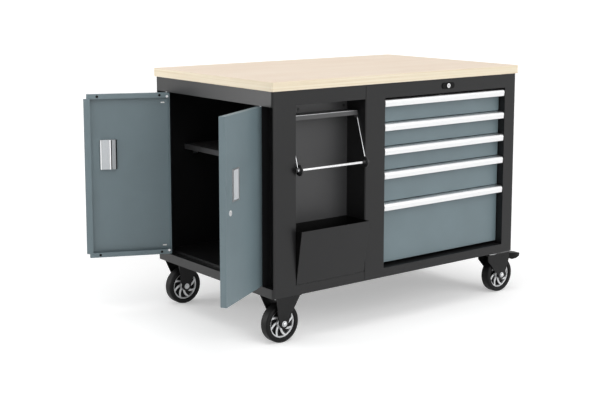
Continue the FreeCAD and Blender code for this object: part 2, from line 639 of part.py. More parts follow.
# Paper holder: a folded bracket on the recess back, two wire arms on its ears, and a rod with two discs
def make_paper_holder():
    fold = [("recess_back", "holder_top"), ("recess_back - sheet", "holder_top"),
            ("recess_back - sheet", "holder_shelf"), ("holder_nose", "holder_shelf"),
            ("holder_nose", "holder_shelf - holder_lip"),
            ("holder_nose + sheet", "holder_shelf - holder_lip"),
            ("holder_nose + sheet", "holder_shelf - sheet"), ("recess_back", "holder_shelf - sheet")]
    channel = place(pad("holder_fold", "YZ_Plane", fold, "holder_length"), "holder_left")
    pieces = [channel]
    arms = []
    ends = (("left", "holder_left", 1), ("right", "holder_right", -1))
    for end, face, inward in ends:
        outer = "holder_play - arm_play"
        ear_x = [f"{face} + {t}" for t in mirrored(inward, "0", "sheet")]
        ear = box(f"{end}_ear", ear_x, ("holder_nose", "holder_nose + ear_depth"),
                  ("holder_shelf - ear_height", "holder_shelf"))
        pin_x = [f"{face} + {t}" for t in mirrored(inward, f"-({outer})", "sheet")]
        pin = rod(f"{end}_pivot", "x", "pivot_radius", pin_x, "pivot_y", "pivot_z")
        pieces += [ear, pin]
        eye_x = [f"{face} + {t}" for t in mirrored(inward, "-arm_play - 2 * arm_radius", "-arm_play")]
        middle = f"({eye_x[0]} + {eye_x[1]}) / 2"
        wire = doc.addObject("Part::Cylinder", f"{end}_wire")
        bind(wire, "Radius", "arm_radius")
        bind(wire, "Height", "arm_length")
        wire.Placement = FreeCAD.Placement(FreeCAD.Vector(), FreeCAD.Rotation(FreeCAD.Vector(1, 0, 0), -1))
        bind(wire, "Placement.Rotation.Angle", "-atan((pivot_y - rod_y) / (pivot_z - rod_z))")
        place(wire, middle, "rod_y", "rod_z")
        eyes = [rod(f"{end}_upper_eye", "x", "arm_eye", eye_x, "pivot_y", "pivot_z"),
                rod(f"{end}_lower_eye", "x", "rod_eye", eye_x, "rod_y", "rod_z")]
        holes = [rod(f"{end}_upper_hole", "x", "pivot_radius + pin_fit", pin_x, "pivot_y", "pivot_z"),
                 rod(f"{end}_lower_hole", "x", "rod_radius + pin_fit",
                     [f"{eye_x[0]} - sheet", f"{eye_x[1]} + sheet"], "rod_y", "rod_z")]
        arms.append(cut(f"{end}_arm", fuse(f"{end}_arm_blank", wire, *eyes), *holes))
    node("paper_bracket", fuse("paper_bracket", *pieces))
    node("paper_arms", group("paper_arms", *arms))

    low = "recess_left - cap_overlap"
    high = "recess_right + cap_overlap"
    bar = rod("paper_bar", "x", "rod_radius", (low, high), "rod_y", "rod_z")
    caps = [rod("left_cap", "x", "cap_radius", (f"{low} - cap_length", low), "rod_y", "rod_z"),
            rod("right_cap", "x", "cap_radius", (high, f"{high} + cap_length"), "rod_y", "rod_z")]
    node("paper_rod", fuse("paper_rod", bar, *caps))
    discs = []
    for end, face, inward in ends:
        x = [f"{face} + {t}" for t in mirrored(inward, "rest_play", "rest_play + disc_thickness")]
        disc = rod(f"{end}_disc_blank", "x", "disc_radius", x, "rod_y", "rod_z")
        hole = rod(f"{end}_disc_hole", "x", "rod_radius", x, "rod_y", "rod_z")
        discs.append(cut(f"{end}_disc", disc, hole))
    node("paper_discs", group("paper_discs", *discs))


# Drawers: double-walled fronts, open trays, full-length handles and three-part telescopic slides
def make_handle(label, top):
    """A hooked extrusion: a plate on the drawer front, a flat brow and a nose that curves down."""
    points = [("0", "0"), ("0", "- handle_flange"), ("- handle_wall", "- handle_flange"),
              ("- handle_wall", "- handle_wall"),
              ("- handle_reach + handle_nose", "- handle_wall", "handle_brow", "left"),
              ("- handle_reach + handle_wall", "- handle_nose"),
              ("- handle_reach + handle_wall + handle_tuck", "- handle_height"),
              ("- handle_reach + handle_tuck", "- handle_height"),
              ("- handle_reach", "- handle_nose", "handle_nose", "right"),
              ("- handle_reach + handle_nose", "0")]
    return place(pad(label, "YZ_Plane", points, "face_length"), "face_left", "face_front", top)


def slide_rail(label, side, depth, height, y, centre, channel=True):
    """A rail of one slide, measured from the side panel: a channel open to the drawer, or a flat bar."""
    wall = "bay_left" if side > 0 else "bay_right"
    x = [f"{wall} + {t}" for t in mirrored(side, *depth)]
    blank = box(label + "_blank", x, y, (f"{centre} - ({height}) / 2", f"{centre} + ({height}) / 2"))
    if not channel:
        return blank
    groove_x = [f"{wall} + {t}" for t in mirrored(side, f"{depth[0]} + rail_wall", f"{depth[1]} + rail_wall")]
    inner = f"({height}) / 2 - rail_wall"
    groove = box(label + "_groove", groove_x, (f"{y[0]} - sheet", f"{y[1]} + sheet"),
                 (f"{centre} - ({inner})", f"{centre} + ({inner})"))
    return cut(label, blank, groove)


def make_drawer(count, outer_rails):
    top = f"top_{count}"
    low = f"low_{count}"
    name = f"drawer_{count}"
    tray_low = f"{low} + tray_lift"
    tray_top = f"{top} - tray_drop"
    face_x = ("face_left", "face_right")
    pan = box(f"{name}_pan", face_x, ("face_front", "face_back"), (low, top))
    hollow = box(f"{name}_pan_hollow", ("face_left + sheet", "face_right - sheet"),
                 ("face_front + sheet", "face_back + sheet"), (f"{low} + sheet", f"{top} - sheet"))
    plate = box(f"{name}_plate", face_x, ("face_back - sheet", "face_back"), (low, tray_top))
    tray = box(f"{name}_tray", ("tray_left", "tray_right"), ("face_back - sheet", "tray_back"),
               (tray_low, tray_top))
    room = box(f"{name}_room", ("tray_left + sheet", "tray_right - sheet"),
               ("face_back", "tray_back - sheet"), (f"{tray_low} + sheet", f"{tray_top} + sheet"))
    node(name, cut(name, fuse(f"{name}_blank", cut(f"{name}_front", pan, hollow), plate, tray), room))
    node(f"drawer_handle_{count}", make_handle(f"drawer_handle_{count}", top))

    centre = f"({tray_low} + slide_lift + slide_height / 2)"
    run = ("face_back + slide_gap", "tray_back")
    step = "rail_wall + slide_play"
    height_mid = f"slide_height - 2 * ({step})"
    height_inner = f"slide_height - 4 * ({step})"
    middles = []
    inners = []
    for end, side in (("left", 1), ("right", -1)):
        outer_rails.append(slide_rail(f"outer_rail_{count}_{end}", side, ("0", "slide_width - slide_gap"),
                                      "slide_height", run, centre))
        middles.append(slide_rail(f"middle_rail_{count}_{end}", side, (step, "slide_width - slide_play"),
                                  height_mid, run, centre))
        inners.append(slide_rail(f"inner_rail_{count}_{end}", side, (f"2 * ({step})", "slide_width"),
                                 height_inner, run, centre, channel=False))
    node(f"slide_middle_{count}", group(f"slide_middle_{count}", *middles))
    node(f"slide_inner_{count}", group(f"slide_inner_{count}", *inners))


def make_drawers():
    outer_rails = []
    for count in range(1, 6):
        make_drawer(count, outer_rails)
    node("slide_outer_rails", group("slide_outer_rails", *outer_rails))


def make_drawer_lock():
    stadium = [("- bezel_half", "- bezel_end"), ("bezel_half", "- bezel_end", "bezel_end", "left"),
               ("bezel_half + bezel_end", "0", "bezel_end", "left"), ("bezel_half", "bezel_end"),
               ("- bezel_half", "bezel_end", "bezel_end", "left"),
               ("- bezel_half - bezel_end", "0", "bezel_end", "left")]
    blank = pad("bezel_plate_pad", "XZ_Plane", stadium, "bezel_plate")
    plate = place(blank, "bay_middle", "front", "bezel_z")
    spot = ("bay_middle", "bezel_z")
    collar = rod("bezel_collar_tube", "y", "bezel_collar", ("front - bezel_collar_length", "front"), *spot)
    bore = rod("bezel_bore", "y", "drawer_lock_radius + pin_fit",
               ("front - 2 * bezel_collar_length", "front + sheet"), *spot)
    node("drawer_lock_bezel", cut("drawer_lock_bezel", fuse("bezel_blank", plate, collar), bore))
    barrel = rod("lock_barrel", "y", "drawer_lock_radius",
                 ("front - drawer_lock_proud", "front + drawer_lock_depth"), *spot)
    cam = box("drawer_cam", ("bay_middle - drawer_lock_radius / 2", "bay_middle + drawer_lock_radius / 2"),
              ("front + drawer_lock_depth - cam_thickness", "front + drawer_lock_depth"),
              ("bezel_z - drawer_cam_drop", "bezel_z"))
    keyway = box("drawer_keyway", ("bay_middle - key_slot_width / 2", "bay_middle + key_slot_width / 2"),
                 ("front - 2 * drawer_lock_proud", "front - drawer_lock_proud + key_slot_depth"),
                 ("bezel_z - key_slot_length / 2", "bezel_z + key_slot_length / 2"))
    node("drawer_lock_barrel", cut("drawer_lock_barrel", fuse("drawer_lock_turned", barrel, cam), keyway))


# Castor wheels: a black tyre moulded on a web and hub, with a silver spiral-vane cover on each side
def make_wheel_parts():
    tyre = revolve("tyre_form", [
        ("hub_bore", "- hub_half"), ("hub_radius", "- hub_half"), ("hub_radius", "- web_half"),
        ("rim_radius", "- web_half"), ("rim_radius", "- tyre_half"),
        ("tyre_flank", "- tyre_half"), ("tyre_bevel", "- bevel_half"), ("wheel_radius", "- tread_half"),
        ("wheel_radius", "tread_half"), ("tyre_bevel", "bevel_half"), ("tyre_flank", "tyre_half"),
        ("rim_radius", "tyre_half"), ("rim_radius", "web_half"), ("hub_radius", "web_half"),
        ("hub_radius", "hub_half"), ("hub_bore", "hub_half")])

    cover, ring = body_sketch("cover_form", "XZ_Plane")
    for radius in ("cover_inner", "cover_outer"):
        circle = ring.addGeometry(Part.Circle(FreeCAD.Vector(), FreeCAD.Vector(0, 0, 1), size(radius)))
        ring.addConstraint(Sketcher.Constraint("Coincident", circle, 3, -1, 1))
        hold(ring, "Radius", circle, radius)
    disc = cover.newObject("PartDesign::Pad", "cover_disc")
    disc.Profile = ring
    bind(disc, "Length", "cover_thickness")
    gap = cover.newObject("Sketcher::SketchObject", "cover_pocket_sketch")
    gap.AttachmentSupport = [(next(p for p in cover.Origin.OriginFeatures if p.Role == "XZ_Plane"), "")]
    gap.MapMode = "FlatFace"
    outline(gap, [("pocket_inner", "0", "pocket_inner", "left"),
                  ("pocket_b_u", "pocket_b_v", "pocket_bow", "left"),
                  ("pocket_c_u", "pocket_c_v", "pocket_outer", "right"),
                  ("pocket_d_u", "pocket_d_v", "pocket_bow", "right")])
    pocket = cover.newObject("PartDesign::Pocket", "cover_pocket")
    pocket.Profile = gap
    pocket.Type = "ThroughAll"
    pocket.Reversed = True
    doc.recompute()
    whole = disc.Shape.Volume
    if pocket.Shape.Volume > whole - 1:
        raise RuntimeError("the pockets between the vanes cut nothing")
    vanes = cover.newObject("PartDesign::PolarPattern", "cover_vanes")
    vanes.Originals = [pocket]
    vanes.Axis = (gap, ["N_Axis"])
    vanes.Angle = 360
    bind(vanes, "Occurrences", "vane_count")
    cover.Tip = vanes
    front_cover = copy("front_cover", cover, y="-web_half")
    back_cover = copy("back_cover", cover, y="web_half", turned=True)
    covers = group("cover_pair", front_cover, back_cover)

    reach = "leg_outer + bolt_head"
    shank = rod("axle_shank", "y", "axle_radius", ("-leg_outer", "leg_outer"), "0", "0")
    head = rod("axle_head", "y", "bolt_head_radius", (f"-({reach})", "-leg_outer"), "0", "0")
    nut = rod("axle_nut", "y", "bolt_head_radius", ("leg_outer", reach), "0", "0")
    return tyre, covers, fuse("axle_form", shank, head, nut)


def legs(label, points):
    """A pair of fork legs, one each side of the wheel."""
    near = place(pad(f"{label}_near", "XZ_Plane", points, "leg_thickness"), y="-leg_inner")
    far = place(pad(f"{label}_far", "XZ_Plane", points, "leg_thickness"), y="leg_outer")
    return near, far


def top_plate(label):
    return box(label, ("-castor_plate_length / 2", "castor_plate_length / 2"),
               ("-castor_plate_width / 2", "castor_plate_width / 2"), ("plate_under", "bottom"))


def make_fixed_castors(tyre, covers, axle):
    leg_points = [("- bracket_top_half", "plate_under"),
                  ("- foot_radius", "wheel_radius", "foot_radius", "left"),
                  ("0", "foot_low", "foot_radius", "left"), ("foot_radius", "wheel_radius"),
                  ("bracket_top_half", "plate_under")]
    blank = fuse("bracket_blank", top_plate("bracket_plate"), *legs("bracket_leg", leg_points))
    hole = rod("bracket_bore", "y", "hub_bore", ("-2 * leg_outer", "2 * leg_outer"), "0", "wheel_radius")
    bracket = cut("bracket_form", blank, hole)
    spots = (("front", "-castor_y"), ("rear", "castor_y"))
    node("fixed_castor_brackets", group("fixed_castor_brackets", *[
        copy(f"{end}_fixed_bracket", bracket, "fixed_x", y) for end, y in spots]))
    node("fixed_castor_axles", group("fixed_castor_axles", *[
        copy(f"{end}_fixed_axle", axle, "fixed_x", y, "wheel_radius") for end, y in spots]))
    for end, y in spots:
        node(f"{end}_fixed_tyre", copy(f"{end}_fixed_tyre", tyre, "fixed_x", y, "wheel_radius"))
        node(f"{end}_fixed_rim", copy(f"{end}_fixed_rim", covers, "fixed_x", y, "wheel_radius"))


def make_swivel_castors(tyre, covers, axle):
    king_hole = rod("plate_bore", "z", "kingpin_radius + pin_fit",
                    ("plate_under - sheet", "bottom + sheet"), "0", "0")
    plate = cut("swivel_plate_form", top_plate("swivel_plate"), king_hole)
    leg_points = [("- fork_back", "crown_under"), ("- fork_back", "fork_corner"),
                  ("trail_near", "wheel_radius", "foot_radius", "left"),
                  ("trail", "foot_low", "foot_radius", "left"),
                  ("trail_far", "wheel_radius"), ("fork_front", "fork_corner"), ("fork_front", "crown_under")]
    crown = rod("fork_crown", "z", "crown_radius", ("crown_under + crown_plate", "crown_top"), "0", "0")
    yoke = box("fork_yoke", ("-fork_back", "fork_front"), ("-leg_outer", "leg_outer"),
               ("crown_under", "crown_under + crown_plate"))
    kingpin = rod("fork_kingpin", "z", "kingpin_radius", ("crown_top", "bottom - crown_play"), "0", "0")
    blank = fuse("fork_blank", crown, yoke, kingpin, *legs("fork_leg", leg_points))
    wide = ("-2 * leg_outer", "2 * leg_outer")
    axle_hole = rod("fork_bore", "y", "hub_bore", wide, "trail", "wheel_radius")
    pedal_hole = rod("pedal_bore", "y", "pedal_pin_radius + pin_fit", wide, "pedal_pivot_x", "pedal_z")
    fork = cut("fork_form", blank, axle_hole, pedal_hole)

    lever = place(pad("pedal_lever", "XZ_Plane", [
        ("- pedal_heel", "pedal_rise"), ("- pedal_heel", "- pedal_nose"),
        ("pedal_throat_x", "- pedal_throat"), ("pedal_belly_x", "- pedal_belly"),
        ("pedal_tip", "- pedal_fall - pedal_nose"), ("pedal_tip", "- pedal_fall"),
        ("pedal_belly_x", "pedal_crest")], "2 * pedal_half"), y="pedal_half")
    pin = rod("pedal_pin", "y", "pedal_pin_radius", ("-leg_outer", "leg_outer"), "0", "0")
    pedal = fuse("pedal_form", lever, pin)

    spots = (("front", "-castor_y"), ("rear", "castor_y"))
    node("swivel_castor_plates", group("swivel_castor_plates", *[
        copy(f"{end}_swivel_plate", plate, "swivel_x", y) for end, y in spots]))
    for end, y in spots:
        node(f"{end}_castor_fork", copy(f"{end}_castor_fork", fork, "swivel_x", y))
        hub = ("swivel_x + trail", y, "wheel_radius")
        node(f"{end}_castor_axle", copy(f"{end}_castor_axle", axle, *hub))
        node(f"{end}_castor_tyre", copy(f"{end}_castor_tyre", tyre, *hub))
        node(f"{end}_castor_rim", copy(f"{end}_castor_rim", covers, *hub))
        node(f"{end}_brake_pedal", copy(f"{end}_brake_pedal", pedal, "pedal_x", y, "pedal_z"))


make_worktop()
make_base()
make_door_cabinet()
make_drawer_cabinet()
make_shelf()
make_door("front_door", 1)
make_door("rear_door", -1)
make_pull("front_door_pull", 1)
make_pull("rear_door_pull", -1)
make_door_lock()
make_hinge_pins()
make_bin()
make_paper_holder()
make_drawers()
make_drawer_lock()
wheel_parts = make_wheel_parts()
make_fixed_castors(*wheel_parts)
make_swivel_castors(*wheel_parts)
doc.recompute()

failed = [thing.Label for thing in doc.Objects if "Invalid" in thing.State or "Error" in thing.State]
if failed:
    raise RuntimeError("these objects failed: " + ", ".join(failed))
for name, piece in nodes.items():
    if piece.Shape.isNull() or not piece.Shape.isValid() or not piece.Shape.Solids:
        raise RuntimeError(f"{name} has no valid solid")

os.makedirs("parts", exist_ok=True)
for name, piece in nodes.items():
    piece.Shape.exportStep(os.path.join("parts", name + ".step"))
print(len(nodes), "pieces written")
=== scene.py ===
import math
import bmesh
import bpy
from mathutils import Matrix, Vector


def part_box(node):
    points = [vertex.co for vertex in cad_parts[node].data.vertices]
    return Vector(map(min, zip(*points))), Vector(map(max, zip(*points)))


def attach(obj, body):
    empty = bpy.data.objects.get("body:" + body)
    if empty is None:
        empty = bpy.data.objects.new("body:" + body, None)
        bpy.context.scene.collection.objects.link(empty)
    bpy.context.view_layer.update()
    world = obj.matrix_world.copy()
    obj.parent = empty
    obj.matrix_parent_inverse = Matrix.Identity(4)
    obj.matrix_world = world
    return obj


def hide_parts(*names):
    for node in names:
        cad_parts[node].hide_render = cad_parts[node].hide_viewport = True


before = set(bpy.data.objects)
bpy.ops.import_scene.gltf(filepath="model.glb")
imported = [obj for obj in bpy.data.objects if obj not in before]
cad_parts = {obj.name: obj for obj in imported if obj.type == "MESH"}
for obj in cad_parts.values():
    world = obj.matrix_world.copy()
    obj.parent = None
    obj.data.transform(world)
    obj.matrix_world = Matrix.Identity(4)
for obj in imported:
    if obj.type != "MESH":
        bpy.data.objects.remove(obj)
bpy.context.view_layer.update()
scene = bpy.context.scene
print("frame loaded:", len(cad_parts), "nodes")


# mesh helpers
def objectFrom(name, bm):
    mesh = bpy.data.meshes.new(name)
    bm.to_mesh(mesh)
    bm.free()
    obj = bpy.data.objects.new(name, mesh)
    scene.collection.objects.link(obj)
    return obj


def settle(obj):
    # bake the modifiers into a plain mesh
    bpy.context.view_layer.update()
    graph = bpy.context.evaluated_depsgraph_get()
    mesh = bpy.data.meshes.new_from_object(obj.evaluated_get(graph))
    old = obj.data
    obj.modifiers.clear()
    obj.data = mesh
    mesh.name = obj.name
    bpy.data.meshes.remove(old)
    return obj


def smoothFaces(obj, sharpFrom=40):
    obj.data.polygons.foreach_set("use_smooth", [True] * len(obj.data.polygons))
    obj.data.set_sharp_from_angle(angle=math.radians(sharpFrom))
    return obj


def softEdges(obj, width, segments=2, angle=32):
    edge = obj.modifiers.new("edge", "BEVEL")
    edge.width = width
    edge.segments = segments
    edge.limit_method = "ANGLE"
    edge.angle_limit = math.radians(angle)
    smoothFaces(settle(obj))
    shade = obj.modifiers.new("shade", "WEIGHTED_NORMAL")
    shade.keep_sharp = True
    return settle(obj)


def nodeCopy(node, name, dissolve=True):
    # merged copy of a CAD node; flat faces are joined unless their rims are too thin for it
    bm = bmesh.new()
    bm.from_mesh(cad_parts[node].data)
    bmesh.ops.remove_doubles(bm, verts=bm.verts, dist=1e-5)
    if dissolve:
        bmesh.ops.dissolve_limit(bm, angle_limit=math.radians(0.4), verts=bm.verts, edges=bm.edges)
    return objectFrom(name, bm)


def cuboid(bm, low, high):
    for vert in bmesh.ops.create_cube(bm, size=1)["verts"]:
        vert.co = Vector([(a + b) / 2 + c * (b - a) for a, b, c in zip(low, high, vert.co)])


def extruded(spots, shift):
    # a flat outline drawn out along shift
    bm = bmesh.new()
    face = bm.faces.new([bm.verts.new(spot) for spot in spots])
    lifted = bmesh.ops.extrude_face_region(bm, geom=[face])["geom"]
    bmesh.ops.translate(bm, vec=shift, verts=[part for part in lifted if isinstance(part, bmesh.types.BMVert)])
    bmesh.ops.recalc_face_normals(bm, faces=bm.faces)
    return bm


def roundBlock(low, high, radius, corners, steps=8):
    # an upright block whose listed (x, y) corners are round
    spots = []
    for x, y, start in ((low[0], low[1], 180), (high[0], low[1], 270),
                        (high[0], high[1], 0), (low[0], high[1], 90)):
        if (x, y) not in corners:
            spots.append((x, y))
            continue
        cx = x + (radius if x == low[0] else -radius)
        cy = y + (radius if y == low[1] else -radius)
        for step in range(steps + 1):
            turn = math.radians(start + 90 * step / steps)
            spots.append((cx + radius * math.cos(turn), cy + radius * math.sin(turn)))
    return extruded([(x, y, low[2]) for x, y in spots], (0, 0, high[2] - low[2]))


def plainBlock(low, high):
    bm = bmesh.new()
    cuboid(bm, low, high)
    return bm


def combine(obj, bm, operation):
    # cut the block in bm from obj, or weld it on
    tool = objectFrom("tool", bm)
    cutter = obj.modifiers.new("cut", "BOOLEAN")
    cutter.operation = operation
    cutter.solver = "EXACT"
    cutter.object = tool
    settle(obj)
    bpy.data.objects.remove(tool)


def lathe(bm, profile, centre, axis, steps, closed=True):
    # profile is (radius, along) pairs in metres
    rings = []
    for step in range(steps):
        turn = 2 * math.pi * step / steps
        c, s = math.cos(turn), math.sin(turn)
        ring = []
        for radius, along in profile:
            spot = {"y": (radius * c, along, radius * s), "z": (radius * c, radius * s, along),
                    "x": (along, radius * c, radius * s)}[axis]
            ring.append(bm.verts.new(Vector(centre) + Vector(spot)))
        rings.append(ring)
    count = len(profile)
    for step in range(steps):
        here, there = rings[step], rings[(step + 1) % steps]
        for index in range(count if closed else count - 1):
            follow = (index + 1) % count
            bm.faces.new((here[index], here[follow], there[follow], there[index]))
    bmesh.ops.remove_doubles(bm, verts=bm.verts, dist=1e-6)
    bmesh.ops.recalc_face_normals(bm, faces=bm.faces)


def roundBar(bm, radius, low, high, centre, axis, steps):
    lathe(bm, ((0, low), (radius, low), (radius, high), (0, high)), centre, axis, steps, closed=False)


def paintFaces(obj, materials, pick):
    # pick gives each face the number of its material
    for material in materials:
        obj.data.materials.append(material)
    for face in obj.data.polygons:
        face.material_index = int(pick(face))


def addPiece(obj, body, material, slot, *nodes):
    if material is not None:
        obj.data.materials.clear()
        obj.data.materials.append(material)
    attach(obj, body)
    if nodes:
        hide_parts(*nodes)


def dressed(node, name, body, material, slot, width, segments=2, angle=32):
    obj = softEdges(nodeCopy(node, name), width, segments, angle)
    addPiece(obj, body, material, slot, node)


# materials
def startMaterial(name):
    material = bpy.data.materials.new(name)
    material.use_nodes = True
    tree = material.node_tree
    return material, tree, tree.nodes["Principled BSDF"]


def addNode(tree, kind, **values):
    node = tree.nodes.new(kind)
    for key, value in values.items():
        node.inputs[key.replace("_", " ")].default_value = value
    return node


def mapped(tree, scale=(1, 1, 1)):
    where = tree.nodes.new("ShaderNodeTexCoord")
    turn = addNode(tree, "ShaderNodeMapping", Scale=scale)
    tree.links.new(where.outputs["Object"], turn.inputs["Vector"])
    return turn.outputs["Vector"]


def noise(tree, vector, scale, detail=3.0, roughness=0.5):
    grain = addNode(tree, "ShaderNodeTexNoise", Scale=scale, Detail=detail, Roughness=roughness)
    tree.links.new(vector, grain.inputs["Vector"])
    return grain.outputs["Fac"]


def spread(tree, value, low, high, fromLow=0.3, fromHigh=0.7):
    reach = tree.nodes.new("ShaderNodeMapRange")
    for key, number in (("From Min", fromLow), ("From Max", fromHigh), ("To Min", low), ("To Max", high)):
        reach.inputs[key].default_value = number
    tree.links.new(value, reach.inputs["Value"])
    return reach.outputs["Result"]


def shades(tree, value, stops):
    ramp = tree.nodes.new("ShaderNodeValToRGB")
    while len(ramp.color_ramp.elements) < len(stops):
        ramp.color_ramp.elements.new(0.5)
    for element, (place, colour) in zip(ramp.color_ramp.elements, stops):
        element.position = place
        element.color = (*colour, 1)
    tree.links.new(value, ramp.inputs["Fac"])
    return ramp.outputs["Color"]


def bumped(tree, shader, height, strength, distance):
    bump = addNode(tree, "ShaderNodeBump", Strength=strength, Distance=distance)
    tree.links.new(height, bump.inputs["Height"])
    tree.links.new(bump.outputs["Normal"], shader.inputs["Normal"])


def mottled(tree, shader, value, colour, dark):
    # the colour, and a darker share of it where the value is low
    shade = tuple(c * dark for c in colour)
    tree.links.new(shades(tree, value, ((0.3, shade), (0.7, colour))), shader.inputs["Base Color"])


def grained(tree, shader, value, low, high, strength, distance):
    # roughness between low and high, with a bump to match
    tree.links.new(spread(tree, value, low, high), shader.inputs["Roughness"])
    bumped(tree, shader, value, strength, distance)


def powderCoat(name, colour, low, high, specular=0.5, grain=1400):
    material, tree, shader = startMaterial(name)
    shader.inputs["Specular IOR Level"].default_value = specular
    vector = mapped(tree)
    mottled(tree, shader, noise(tree, vector, 6, detail=4), colour, dark=0.9)
    grained(tree, shader, noise(tree, vector, grain, detail=2), low, high, strength=0.12, distance=0.0003)
    return material


def satinMetal(name, colour, low, high, stretch, grain=900, bump=0.06):
    material, tree, shader = startMaterial(name)
    shader.inputs["Metallic"].default_value = 1
    drawn = noise(tree, mapped(tree, stretch), grain)
    mottled(tree, shader, drawn, colour, dark=0.93)
    grained(tree, shader, drawn, low, high, bump, distance=0.0002)
    return material


def mouldedPlastic(name, colour, low, high, grain, bump, metallic=0, specular=0.5):
    material, tree, shader = startMaterial(name)
    shader.inputs["Metallic"].default_value = metallic
    shader.inputs["Specular IOR Level"].default_value = specular
    vector = mapped(tree)
    mottled(tree, shader, noise(tree, vector, 25), colour, dark=0.85)
    grained(tree, shader, noise(tree, vector, grain), low, high, bump, distance=0.0003)
    return material


def blended(tree, fine, share, broad):
    mix = tree.nodes.new("ShaderNodeMath")
    mix.operation = "MULTIPLY_ADD"
    mix.inputs[1].default_value = share
    tree.links.new(fine, mix.inputs[0])
    tree.links.new(broad, mix.inputs[2])
    return mix.outputs["Value"]


def birchFace(name):
    material, tree, shader = startMaterial(name)
    grain = noise(tree, mapped(tree, (1.2, 22, 22)), 9, detail=6, roughness=0.6)
    cloud = noise(tree, mapped(tree, (0.8, 3, 3)), 2.2)
    pores = noise(tree, mapped(tree, (6, 160, 160)), 8, detail=2)
    mix = blended(tree, grain, 0.55, spread(tree, cloud, 0.12, 0.32))
    tone = shades(tree, mix, ((0.3, (0.79, 0.62, 0.465)), (0.5, (0.84, 0.69, 0.54)), (0.68, (0.875, 0.74, 0.60))))
    tree.links.new(tone, shader.inputs["Base Color"])
    tree.links.new(spread(tree, grain, 0.38, 0.52), shader.inputs["Roughness"])
    bumped(tree, shader, pores, strength=0.05, distance=0.0002)
    return material


def birchEdge(name):
    # plies: bands a few millimetres thick along the height, with the odd darker glue line
    material, tree, shader = startMaterial(name)
    plies = noise(tree, mapped(tree, (0.6, 0.6, 130)), 3, detail=2)
    fibres = noise(tree, mapped(tree, (18, 18, 500)), 4, detail=4)
    mix = blended(tree, fibres, 0.35, spread(tree, plies, 0.1, 0.55))
    tone = shades(tree, mix, ((0.2, (0.66, 0.53, 0.35)), (0.42, (0.77, 0.665, 0.495)), (0.7, (0.82, 0.735, 0.58))))
    tree.links.new(tone, shader.inputs["Base Color"])
    tree.links.new(spread(tree, fibres, 0.5, 0.65), shader.inputs["Roughness"])
    bumped(tree, shader, plies, strength=0.05, distance=0.0002)
    return material


# after a colour come its least and most roughness
blackCoat = powderCoat("blackCoat", (0.0085, 0.0085, 0.009), 0.30, 0.40, specular=0.34)
# the black paint lightened to a grey: painted light on the recess back; the drawer trays take the same grey
linerGreyAndLitBack = powderCoat("linerGreyAndLitBack", (0.036, 0.036, 0.0373), 0.40, 0.50)
castorBlack = powderCoat("castorBlack", (0.005, 0.005, 0.0053), 0.34, 0.44, specular=0.22)
# the black paint lightened, as painted light on the paper bracket and the cupboard shelf
litBlackCoat = powderCoat("litBlackCoat", (0.070, 0.070, 0.072), 0.30, 0.40)
slateCoat = powderCoat("slateCoat", (0.146, 0.197, 0.217), 0.36, 0.48)
# the handles' satin, also used as a painted highlight on the pull back
handleSatinAndHighlight = satinMetal("handleSatinAndHighlight", (0.85, 0.855, 0.86), 0.26, 0.36, (0.02, 1, 1))
pullSatin = satinMetal("pullSatin", (0.42, 0.435, 0.45), 0.26, 0.32, (1, 1, 0.02), bump=0.02)
# a darker copy of the pull's satin, as painted shade on the pull back
pullShadeSatin = satinMetal("pullShadeSatin", (0.27, 0.28, 0.29), 0.26, 0.32, (1, 1, 0.02), bump=0.02)
zincBright = satinMetal("zincBright", (0.62, 0.63, 0.64), 0.25, 0.40, (1, 1, 1), grain=300)
chromeBright = satinMetal("chromeBright", (0.86, 0.86, 0.87), 0.07, 0.13, (1, 1, 1), grain=200)
rimSilver = mouldedPlastic("rimSilver", (0.70, 0.71, 0.72), 0.28, 0.38, 700, 0.03, metallic=0.6)
blackMoulding = mouldedPlastic("blackMoulding", (0.008, 0.008, 0.0085), 0.36, 0.48, 900, 0.06)
tyreRubber = mouldedPlastic("tyreRubber", (0.005, 0.005, 0.0053), 0.40, 0.54, 500, 0.12, specular=0.16)
# black for the lock bezel and the pedals, and also painted shade in the bin, on the pull back, in the key slots and in
# the lip holes
bezelBlackAndShade = mouldedPlastic("bezelBlackAndShade", (0.003, 0.003, 0.003), 0.40, 0.50, 900, 0.04, specular=0.12)
lockSatin = mouldedPlastic("lockSatin", (0.78, 0.78, 0.79), 0.30, 0.40, 600, 0.02, metallic=0.4)
whiteNylon = mouldedPlastic("whiteNylon", (0.80, 0.80, 0.78), 0.40, 0.50, 600, 0.03)
topBirch = birchFace("topBirch")
edgeBirch = birchEdge("edgeBirch")
print("materials ready")

# worktop: a thick birch slab with eased edges
worktopSizes = {"low": (-0.600, -0.380, 0.885), "high": (0.600, 0.380, 0.917), "corner": 0.006, "ease": 0.0018,
                "edgeFacing": 0.6}


def makeWorktop():
    low, high = worktopSizes["low"], worktopSizes["high"]
    corners = [(x, y) for x in (low[0], high[0]) for y in (low[1], high[1])]
    slab = objectFrom("worktopSlab", roundBlock(low, high, worktopSizes["corner"], corners))
    softEdges(slab, worktopSizes["ease"], segments=3)
    paintFaces(slab, (topBirch, edgeBirch), lambda face: abs(face.normal.z) <= worktopSizes["edgeFacing"])
    addPiece(slab, "cabinet", None, "plywood", "worktop")


makeWorktop()
print("worktop made")

